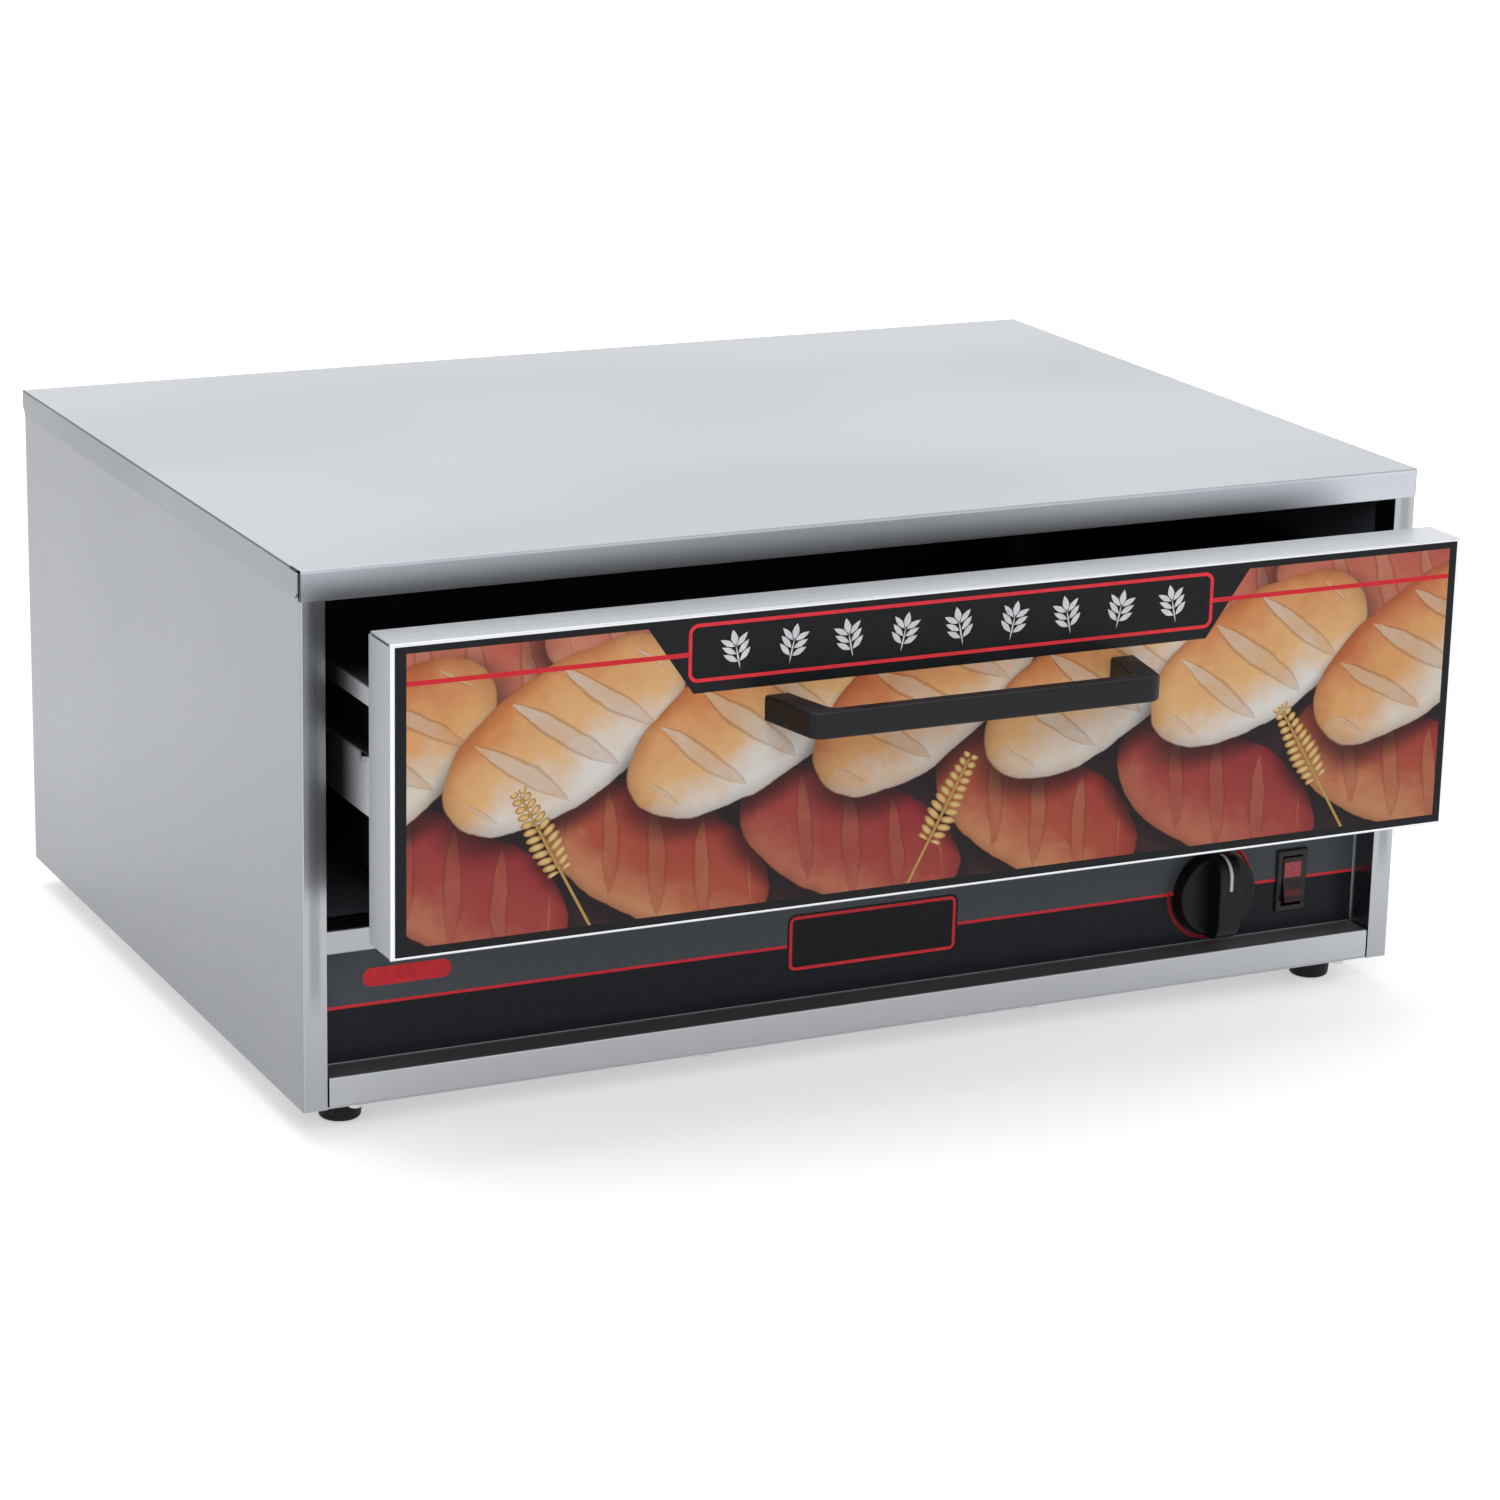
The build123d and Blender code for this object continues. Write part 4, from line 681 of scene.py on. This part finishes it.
switch_case = moulded("switch_case", (0.008, 0.009, 0.010), 0.33, pitch=1900, relief=0.12, glint=0.3)
finish_cad(["switch_housing"], switch_case)
window_side = 0.0022
lit_low, lit_top = 0.0016, 0.0028
glow_foot, glow_top = 0.0045, 0.0050
rocker_low, rocker_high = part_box("switch_rocker")
rocker_middle = (rocker_low + rocker_high) / 2
rocker_red, made, shader = surface("rocker_red", (0.20, 0.012, 0.016), 0.26, glint=0.3)
x_now, _, z_now = own(made)
cells = grain(made, 420)
lit = mottled(made, cells, (0.46, 0.060, 0.065), (0.58, 0.095, 0.100))
glow = mottled(made, cells, (0.10, 0.005, 0.009), (0.15, 0.008, 0.014))
window_half = (rocker_high.x - rocker_low.x) / 2 - window_side
within = sums(made, "LESS_THAN", gap_to(made, x_now, rocker_middle.x), window_half)
upper = between(made, z_now, rocker_middle.z + lit_low, rocker_high.z - lit_top)
lower = between(made, z_now, rocker_low.z + glow_foot, rocker_middle.z - glow_top)
painted = tinted(made, product(made, within, lower), (0.022, 0.003, 0.004), glow)
painted = tinted(made, product(made, within, upper), painted, lit)
dressed(made, shader, painted, ranged(made, cells, 0.16, 0.30))
bumped(made, shader, cells, strength=0.12, distance=0.00005)
finish_cad(["switch_rocker"], rocker_red)
finish_cad(["switch_tabs"], plated("tab_brass", (0.70, 0.58, 0.32), 0.3))


# Where the mains lead comes in: a black bushing with its nut in the back panel, the terminal block
# and earth stud on the base sheet, and sleeved leads to the switch, thermostat and element.
finish_cad(["cord_bushing", "bushing_nut"], moulded("inlet_plastic", (0.016, 0.016, 0.017), 0.45))
finish_cad(["terminal_block"], moulded("block_plastic", (0.70, 0.68, 0.61), 0.5))
finish_cad(["earth_stud"], plated("stud_zinc", (0.62, 0.60, 0.50), 0.3))
sleeve, made, shader = surface("lead_sleeve", (0.62, 0.60, 0.55), 0.75)
braid = grain(made, 1600, detail=1.0)
made.links.new(mottled(made, braid, (0.50, 0.48, 0.43), (0.70, 0.68, 0.62)), shader.inputs["Base Color"])
bumped(made, shader, braid, strength=0.6, distance=0.0002)
finish_cad(["inner_leads"], sleeve)


# Each side has a three-member slide of zinc-plated steel: a channel on the lining, a middle member,
# and a channel on the drawer, with the balls held between them in thin cages.
slide_zinc = brushed_steel("slide_zinc", (0.56, 0.575, 0.60), "y", gloss=0.26, streak=0.06)
finish_cad(["left_cabinet_slide", "right_cabinet_slide", "left_middle_slide", "right_middle_slide"],
           slide_zinc)
slide_bright_until, slide_dark_from = -0.196, -0.160
slide_shade_share = 0.05


def dull_zinc(name, colour, roughness):
    """Zinc gone pale and matt in warm moist air, faintly spangled, with a painted shade behind its front
    end.
    """
    material, made, shader = surface(name, colour, roughness, metallic=0.3, glint=0.3)
    spangle = grain(made, 320, detail=3.0)
    haze = grain(made, 30, detail=3.0)
    base = mottled(made, spangle, shade(colour, 0.9), colour)
    dressed(made, shader, base, ranged(made, haze, roughness - 0.06, roughness + 0.08))
    # Behind its front end the colour fades dark: a painted shade inside the cabinet.
    slot_painted_shade = ranged(made, own(made)[1], 1.0, slide_shade_share, slide_bright_until, slide_dark_from)
    times(made, shader, slot_painted_shade)
    return material


finish_cad(["left_drawer_slide", "right_drawer_slide"], dull_zinc("pale_zinc", (0.76, 0.78, 0.80), 0.52))
ball_steel = plated("ball_steel", (0.62, 0.63, 0.65), 0.16)
finish_cad(["left_outer_ball_cage", "left_inner_ball_cage"], ball_steel)
finish_cad(["right_outer_ball_cage", "right_inner_ball_cage"], ball_steel)
finish_cad(["cabinet_slide_screws", "drawer_slide_screws"], screw_plating)


# The drawer hangs on two stepped rails of dark sheet. A crossbar joins them at the rear and is screwed to
# both.
dark_rail_steel = brushed_steel("dark_rail_steel", (0.075, 0.080, 0.088), "y", gloss=0.44)
finish_cad(["left_drawer_rail", "right_drawer_rail"], dark_rail_steel)
finish_cad(["rear_crossbar"], brushed_steel("crossbar_steel", (0.55, 0.565, 0.59), "x"))
finish_cad(["drawer_front_screws"], screw_plating)


# The drawer front is a shallow box folded from satin steel and closed at the back by a flat panel.
# Its top and side edges are bare steel round the printed film.
# Its sideways flanges and its folds are painted darker: a painted shade.
front_steel = brushed_steel("front_steel", (0.70, 0.72, 0.745), "x", gloss=0.26, side_shade_share=0.43, fold_shade_share=0.62)
finish_cad(["drawer_front_shell", "drawer_front_back"], front_steel)


# The film on the drawer front is printed with a basket of bread inside a black border: slashed
# loaves crossing each other in rows, golden above and brick red below, and ears of wheat.
def smooth_edge(made, source, full, none):
    """One where the source is under the first number, fading to zero at the second."""
    fade = made.nodes.new("ShaderNodeMapRange")
    fade.interpolation_type = "SMOOTHSTEP"
    fade.inputs["From Min"].default_value = full
    fade.inputs["From Max"].default_value = none
    fade.inputs["To Min"].default_value = 1
    fade.inputs["To Max"].default_value = 0
    made.links.new(source, fade.inputs["Value"])
    return fade.outputs["Result"]


def power(made, value, exponent):
    """The value's size raised to a power."""
    return sums(made, "POWER", sums(made, "ABSOLUTE", value), exponent)


def scaled(made, value, share, plus=0.0):
    """The value times a number, plus another."""
    return sums(made, "ADD", product(made, value, share), plus)


def print_group(name, colours=()):
    """A node group that paints one printed shape over the colour under it, and its main sockets."""
    made = bpy.data.node_groups.new(name, "ShaderNodeTree")
    for label, kind in (("Under", "Color"), ("Place", "Vector"), ("Mottle", "Float")):
        made.interface.new_socket(label, in_out="INPUT", socket_type="NodeSocket" + kind)
    for label in colours:
        made.interface.new_socket(label, in_out="INPUT", socket_type="NodeSocketColor")
    made.interface.new_socket("Colour", in_out="OUTPUT", socket_type="NodeSocketColor")
    given = made.nodes.new("NodeGroupInput")
    local = made.nodes.new("ShaderNodeSeparateXYZ")
    made.links.new(given.outputs["Place"], local.inputs[0])
    shown = made.nodes.new("NodeGroupOutput")
    return made, given.outputs, local.outputs["X"], local.outputs["Y"], shown.inputs["Colour"]


# Each loaf lies within one unit of its own middle, along and across. It casts a soft shade on what
# is under it, is browner on its back than on its belly, and opens in a row of slashes.
crust_tones = ("Crust", "Middle", "Belly")
end_power, side_power, loaf_edge = 2.3, 2.1, 0.975
shade_colour, shade_strength = (0.012, 0.008, 0.010), 0.82
shade_along, shade_across, shade_power = 0.03, 0.16, 2.2
shade_full, shade_none = 0.75, 1.55
back_pull, blotch_pull = 0.5, 0.42
belly_until, middle_from, middle_until, back_from = 0.10, 0.46, 0.50, 0.95
rim_colour, rim_light, flat_from = (0.30, 0.20, 0.18), 0.34, 0.62
slash_rate, slash_slant, slash_start = 2.35, 0.62, 10.5
slash_from_height, slash_growth = 0.52, 0.42
open_full, open_none, open_strength = 0.72, 0.95, 0.62
lip_colour, lip_full, lip_none, lip_strength = (0.17, 0.045, 0.030), 1.02, 1.25, 0.34
loaf_print, given, along, across, shown = print_group("loaf_print", crust_tones)
made = loaf_print
reach = sums(made, "SQRT", sums(made, "ADD", power(made, along, end_power),
                                power(made, across, side_power)))
shade_reach = sums(made, "ADD", power(made, sums(made, "ADD", along, shade_along), shade_power),
                   power(made, sums(made, "ADD", across, shade_across), shade_power))
cast = smooth_edge(made, shade_reach, shade_full, shade_none)
dimmed = tinted(made, product(made, cast, shade_strength), given["Under"], shade_colour)
in_loaf = smooth_edge(made, reach, loaf_edge, 1.0)
over_rim = sums(made, "MAXIMUM", sums(made, "SUBTRACT", 1.0, product(made, reach, reach)), 0)
height = sums(made, "SQRT", over_rim)
blotch = scaled(made, sums(made, "SUBTRACT", given["Mottle"], 0.5), blotch_pull, plus=0.5)
tone = sums(made, "ADD", product(made, across, back_pull), blotch)
off_belly = ranged(made, tone, 0, 1, belly_until, middle_from)
on_back = ranged(made, tone, 0, 1, middle_until, back_from)
roundness = ranged(made, height, rim_light, 1.0, 0.0, flat_from)
crumb = tinted(made, off_belly, given["Belly"], given["Middle"])
crumb = tinted(made, on_back, crumb, given["Crust"])
form = tinted(made, roundness, rim_colour, (1, 1, 1))
crumb = tinted(made, 1.0, crumb, form, kind="MULTIPLY")
wave = sums(made, "ADD", product(made, along, slash_rate), product(made, across, slash_slant))
from_slash = gap_to(made, sums(made, "FRACT", sums(made, "ADD", wave, slash_start)), 0.5)
slash_half = product(made, sums(made, "SUBTRACT", height, slash_from_height), slash_growth)
in_slash = sums(made, "DIVIDE", from_slash, sums(made, "MAXIMUM", slash_half, 0.0001))
opened = product(made, smooth_edge(made, in_slash, open_full, open_none), open_strength)
slash_lip = product(made, smooth_edge(made, in_slash, lip_full, lip_none), lip_strength)
crumb = tinted(made, slash_lip, crumb, lip_colour)
crumb = tinted(made, opened, crumb, tinted(made, given["Mottle"], given["Belly"], given["Middle"]))
made.links.new(tinted(made, in_loaf, dimmed, crumb), shown)

# An ear of wheat has a stalk and two rows of kernels, which lean outwards and thin towards the
# ends. It is printed over the loaves without a shade of its own.
stalk_colour, straw_tip = (0.52, 0.33, 0.11), (0.86, 0.62, 0.26)
straw_root, straw_fleck, fleck_strength = (0.32, 0.13, 0.035), (0.60, 0.34, 0.11), 0.4
kernel_rate, kernel_lean, kernel_start = 8.0, 0.62, 20
kernel_long, kernel_wide, kernel_seat = 0.46, 0.40, 0.42
kernel_edge = 0.80
thickest_at, taper_rate = 0.05, 0.55
ear_foot, ear_tip = -0.42, 0.98
stalk_foot, stalk_tip = -1.6, 0.9
stalk_full, stalk_none = 0.045, 0.075
ear_print, given, along, across, shown = print_group("ear_print")
made = ear_print
beside = sums(made, "ABSOLUTE", across)
row = sums(made, "SUBTRACT", product(made, along, kernel_rate), product(made, beside, kernel_lean))
cell = sums(made, "SUBTRACT", sums(made, "FRACT", sums(made, "ADD", row, kernel_start)), 0.5)
thinning = product(made, gap_to(made, along, thickest_at), taper_rate)
taper = sums(made, "SUBTRACT", 1.0, thinning)
seat = sums(made, "SUBTRACT", beside, product(made, taper, kernel_seat))
kernel = sums(made, "ADD", power(made, sums(made, "DIVIDE", cell, kernel_long), 2),
              power(made, sums(made, "DIVIDE", seat, product(made, taper, kernel_wide)), 2))
husk = product(made, smooth_edge(made, kernel, kernel_edge, 1.0), between(made, along, ear_foot, ear_tip))
stalk = product(made, smooth_edge(made, beside, stalk_full, stalk_none),
                between(made, along, stalk_foot, stalk_tip))
straw = tinted(made, smooth_edge(made, kernel, 0.0, 0.9), straw_root, straw_tip)
straw = tinted(made, product(made, given["Mottle"], fleck_strength), straw, straw_fleck)
painted = tinted(made, stalk, given["Under"], stalk_colour)
made.links.new(tinted(made, husk, painted, straw), shown)


def moved(made, kind, first, second):
    """One step of arithmetic on a vector and a vector, or a vector and a number."""
    step = made.nodes.new("ShaderNodeVectorMath")
    step.operation = kind
    made.links.new(first, step.inputs[0])
    if kind == "SCALE":
        step.inputs["Scale"].default_value = second
    elif isinstance(second, tuple):
        step.inputs[1].default_value = second
    else:
        made.links.new(second, step.inputs[1])
    return step.outputs[0]


def stamped(made, print_kind, under, mottle, flat_place, middle, turn_by, half_size):
    """Print one shape over a colour, turned by some degrees about its middle and stretched to size."""
    spot = made.nodes.new("ShaderNodeMapping")
    spot.vector_type = "TEXTURE"
    spot.inputs["Location"].default_value = (*middle, 0)
    spot.inputs["Rotation"].default_value = (0, 0, math.radians(turn_by))
    spot.inputs["Scale"].default_value = (*half_size, 1)
    made.links.new(flat_place, spot.inputs["Vector"])
    stamp = made.nodes.new("ShaderNodeGroup")
    stamp.node_tree = print_kind
    made.links.new(under, stamp.inputs["Under"])
    made.links.new(spot.outputs["Vector"], stamp.inputs["Place"])
    made.links.new(mottle, stamp.inputs["Mottle"])
    return stamp


ripple_pitch, ripple_detail, ripple_reach = 34, 5, 0.0065
bake_share, fine_share = 0.72, 0.28
bread_film, made, shader = surface("bread_film", (0.4, 0.2, 0.1), 0.30, glint=0.14)
x_now, _, z_now = own(made)
flat = made.nodes.new("ShaderNodeCombineXYZ")
made.links.new(x_now, flat.inputs["X"])
made.links.new(z_now, flat.inputs["Y"])
flat_place = flat.outputs[0]
ripple = made.nodes.new("ShaderNodeTexNoise")
ripple.inputs["Scale"].default_value = ripple_pitch
ripple.inputs["Detail"].default_value = ripple_detail
made.links.new(flat_place, ripple.inputs["Vector"])
centred = moved(made, "SUBTRACT", ripple.outputs["Color"], (0.5, 0.5, 0.5))
uneven_place = moved(made, "ADD", flat_place, moved(made, "SCALE", centred, ripple_reach))
bake = grain(made, 28, detail=6.0, roughness=0.62)
bake_fine = grain(made, 210, detail=4.0, roughness=0.6)
bake_wide = ranged(made, bake, 0, 1, from_low=0.32, from_high=0.68)
mottle = sums(made, "ADD", product(made, bake_wide, bake_share), product(made, bake_fine, fine_share))
painted = mottled(made, bake, (0.016, 0.011, 0.013), (0.060, 0.024, 0.024))

gold = ((0.68, 0.235, 0.080), (0.84, 0.49, 0.215), (0.82, 0.78, 0.73))
amber = ((0.60, 0.17, 0.065), (0.80, 0.41, 0.165), (0.80, 0.72, 0.61))
brick = ((0.36, 0.045, 0.038), (0.44, 0.090, 0.052), (0.60, 0.26, 0.13))
rose = ((0.30, 0.034, 0.040), (0.38, 0.062, 0.052), (0.52, 0.17, 0.10))
blush = ((0.52, 0.11, 0.080), (0.60, 0.19, 0.12), (0.68, 0.34, 0.22))


def bread_row(count, first, pitch, height, sway, turn_by, turn_step, half_size, tones):
    """Loaves side by side, every other one moved up, turned in three steps, their tones in turn."""
    return [((first + pitch * number, height + sway * (number % 2)), turn_by + turn_step * (number % 3),
             half_size, tones[number % len(tones)]) for number in range(count)]


loaves = bread_row(6, first=-0.262, pitch=0.104, height=0.1455, sway=0.003, turn_by=-31, turn_step=3,
                   half_size=(0.066, 0.031), tones=(rose, brick))
loaves += bread_row(6, first=-0.250, pitch=0.100, height=0.2470, sway=-0.003, turn_by=-24, turn_step=5,
                    half_size=(0.070, 0.030), tones=(blush,))
loaves += bread_row(7, first=-0.300, pitch=0.095, height=0.2095, sway=0.004, turn_by=33, turn_step=-4,
                    half_size=(0.068, 0.034), tones=(amber, gold, gold))
for middle, turn_by, half_size, tones in loaves:
    loaf = stamped(made, loaf_print, painted, mottle, uneven_place, middle, turn_by, half_size)
    for label, tone in zip(crust_tones, tones):
        loaf.inputs[label].default_value = (*tone, 1)
    painted = loaf.outputs["Colour"]
ear_half_size = (0.034, 0.0115)
for middle, turn_by in (((-0.214, 0.1595), 118), ((-0.004, 0.1515), 62), ((0.206, 0.1585), 121)):
    ear = stamped(made, ear_print, painted, mottle, flat_place, middle, turn_by, ear_half_size)
    painted = ear.outputs["Colour"]

picture_left, picture_right, picture_low, picture_high = -0.2852, 0.2864, 0.1183, 0.2607
sign_low, sign_middle, sign_half, sign_slope = 0.2269, 0.0014, 0.1412, 0.706
stripe_height, stripe_width = 0.2462, 0.0024
film_black = (0.0095, 0.0105, 0.0125)
stripe_red = (0.76, 0.030, 0.044)
on_stripe = sums(made, "LESS_THAN", gap_to(made, z_now, stripe_height), stripe_width / 2)
over_foot = sums(made, "SUBTRACT", z_now, sign_low)
sign_edge = scaled(made, over_foot, sign_slope, plus=sign_half)
on_sign = product(made, sums(made, "GREATER_THAN", z_now, sign_low),
                  sums(made, "LESS_THAN", gap_to(made, x_now, sign_middle), sign_edge))
painted = tinted(made, on_sign, painted, film_black)
painted = tinted(made, on_stripe, painted, stripe_red)
inside = product(made, between(made, x_now, picture_left, picture_right),
                 between(made, z_now, picture_low, picture_high))
sheen = ranged(made, grain(made, 60, detail=3.0), 0.26, 0.36)
dressed(made, shader, tinted(made, inside, film_black, painted), sheen)
bumped(made, shader, grain(made, 1500), strength=0.06, distance=0.00002)
finish_cad(["drawer_label"], bread_film)


# The sign at the top of the film is a black panel inside a rounded red border, which hides the
# stripe behind it. A row of plain white sprigs stands in it.
sign_box = (-0.1427, 0.1457, 0.2322, 0.2610)
sign_radius, sign_line = 0.0050, 0.0018
printed(rounded_plate("sign_ground", *sign_box, sign_radius), label_face, 0, black_ink, "drawer")
printed(rounded_border("sign_border", *sign_box, sign_radius, sign_line),
        label_face, 1, red_ink, "drawer")

leaf_bulges = ((0.2, 0.62), (0.45, 1.0), (0.75, 0.66))


def leaf(outline, root, tip, wide):
    """A pointed flat leaf from its root to its tip."""
    axis = tip - root
    side = Vector((-axis.y, axis.x)).normalized() * wide
    spots = [root]
    spots += [root + axis * share + side * bulge for share, bulge in leaf_bulges]
    spots += [tip]
    spots += [root + axis * share - side * bulge for share, bulge in reversed(leaf_bulges)]
    outline.faces.new([outline.verts.new((spot.x, 0, spot.y)) for spot in spots])


sprig_count = 9
sprig_pitch = 0.0300
sprig_lean = math.radians(12)
sprig_row = (sign_middle + 0.001, (sign_box[2] + sign_box[3]) / 2)
sprig_foot, sprig_top = 0.0100, 0.0100
stalk_top, stalk_half = 0.0030, 0.00045
tip_leaf_root, tip_leaf_half = 0.0020, 0.0019
side_leaf_levels = (-0.0060, -0.0022, 0.0016)
side_leaf_root, side_leaf_reach, side_leaf_rise, side_leaf_half = 0.0006, 0.0072, 0.0052, 0.0015
sprigs = drawn_shape("sign_sprigs")
drawn = bmesh.new()
for number in range(sprig_count):
    start = Vector((sprig_row[0] + sprig_pitch * (number - (sprig_count - 1) / 2), sprig_row[1]))
    lean = sprig_lean if number % 2 else -sprig_lean
    up = Vector((math.sin(lean), math.cos(lean)))
    right = Vector((up.y, -up.x))
    leaf(drawn, start - up * sprig_foot, start + up * stalk_top, stalk_half)
    leaf(drawn, start + up * tip_leaf_root, start + up * sprig_top, tip_leaf_half)
    for level in side_leaf_levels:
        for side in (-right, right):
            root = start + up * level
            leaf(drawn, root + side * side_leaf_root,
                 root + side * side_leaf_reach + up * side_leaf_rise, side_leaf_half)
bmesh.ops.recalc_face_normals(drawn, faces=drawn.faces)
drawn.to_mesh(sprigs.data)
drawn.free()
printed(sprigs, label_face, 1, white_ink, "drawer")


# The handle is a black moulded bar on two legs, a little rough to the touch. A screw goes into
# each leg from inside the drawer front.
handle_plastic = moulded("handle_plastic", (0.0062, 0.0066, 0.0080), 0.44,
                         pitch=1500, relief=0.3, glint=0.22)
finish_cad(["drawer_handle"], handle_plastic)
finish_cad(["handle_screws"], screw_plating)


# The food pan is deep drawn sheet and hangs by its rim; all but the rim's lip is painted dark as a
# painted shade, with its level faces and its back painted darker still.
# In it lie a punched rack for the buns and a shallow steel tray for water.
rim_width = 0.0013
level_shade_share = 0.2
pan_bright_until, pan_dark_from = -0.188, -0.152
pan_shade_share = 0.06
pan_low, pan_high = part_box("drawer_pan")
pan_middle = (pan_low + pan_high) / 2
pan_steel, made, shader = surface("pan_steel", (0.70, 0.715, 0.735), 0.46, metallic=0.45)
x_now, y_now, _ = own(made)
half_wide = (pan_high.x - pan_low.x) / 2 - rim_width
half_deep = (pan_high.y - pan_low.y) / 2 - rim_width
from_side = sums(made, "SUBTRACT", half_wide, gap_to(made, x_now, pan_middle.x))
from_end = sums(made, "SUBTRACT", half_deep, gap_to(made, y_now, pan_middle.y))
inside_rim = sums(made, "GREATER_THAN", sums(made, "MINIMUM", from_side, from_end), 0)
drawn_lines = grain(made, drawn_out("x", polish_run, polish_pitch), detail=3.0)
bare = mottled(made, drawn_lines, (0.64, 0.655, 0.675), (0.72, 0.735, 0.755))
inside_blotches = grain(made, 20, detail=4.0)
# Inside the rim the pan is painted dark: a painted shade where little light reaches.
shade_dark_inside = mottled(made, inside_blotches, (0.110, 0.114, 0.124), (0.150, 0.152, 0.160))
sheen = ranged(made, inside_blotches, 0.42, 0.52)
dressed(made, shader, tinted(made, inside_rim, bare, shade_dark_inside), sheen)
levelness = sums(made, "ABSOLUTE", own(made, "Normal")[2])
# Level faces and the back of the pan are painted darker: a painted shade.
times(made, shader, ranged(made, levelness, 1.0, level_shade_share, from_low=0.5, from_high=0.8))
times(made, shader, ranged(made, y_now, 1.0, pan_shade_share, pan_bright_until, pan_dark_from))
finish_cad(["drawer_pan"], pan_steel)
finish_cad(["bun_rack"], brushed_steel("rack_steel", (0.30, 0.31, 0.32), "y", gloss=0.42))
finish_cad(["water_tray"], brushed_steel("tray_steel", (0.56, 0.575, 0.60), "x", gloss=0.34, streak=0.04))
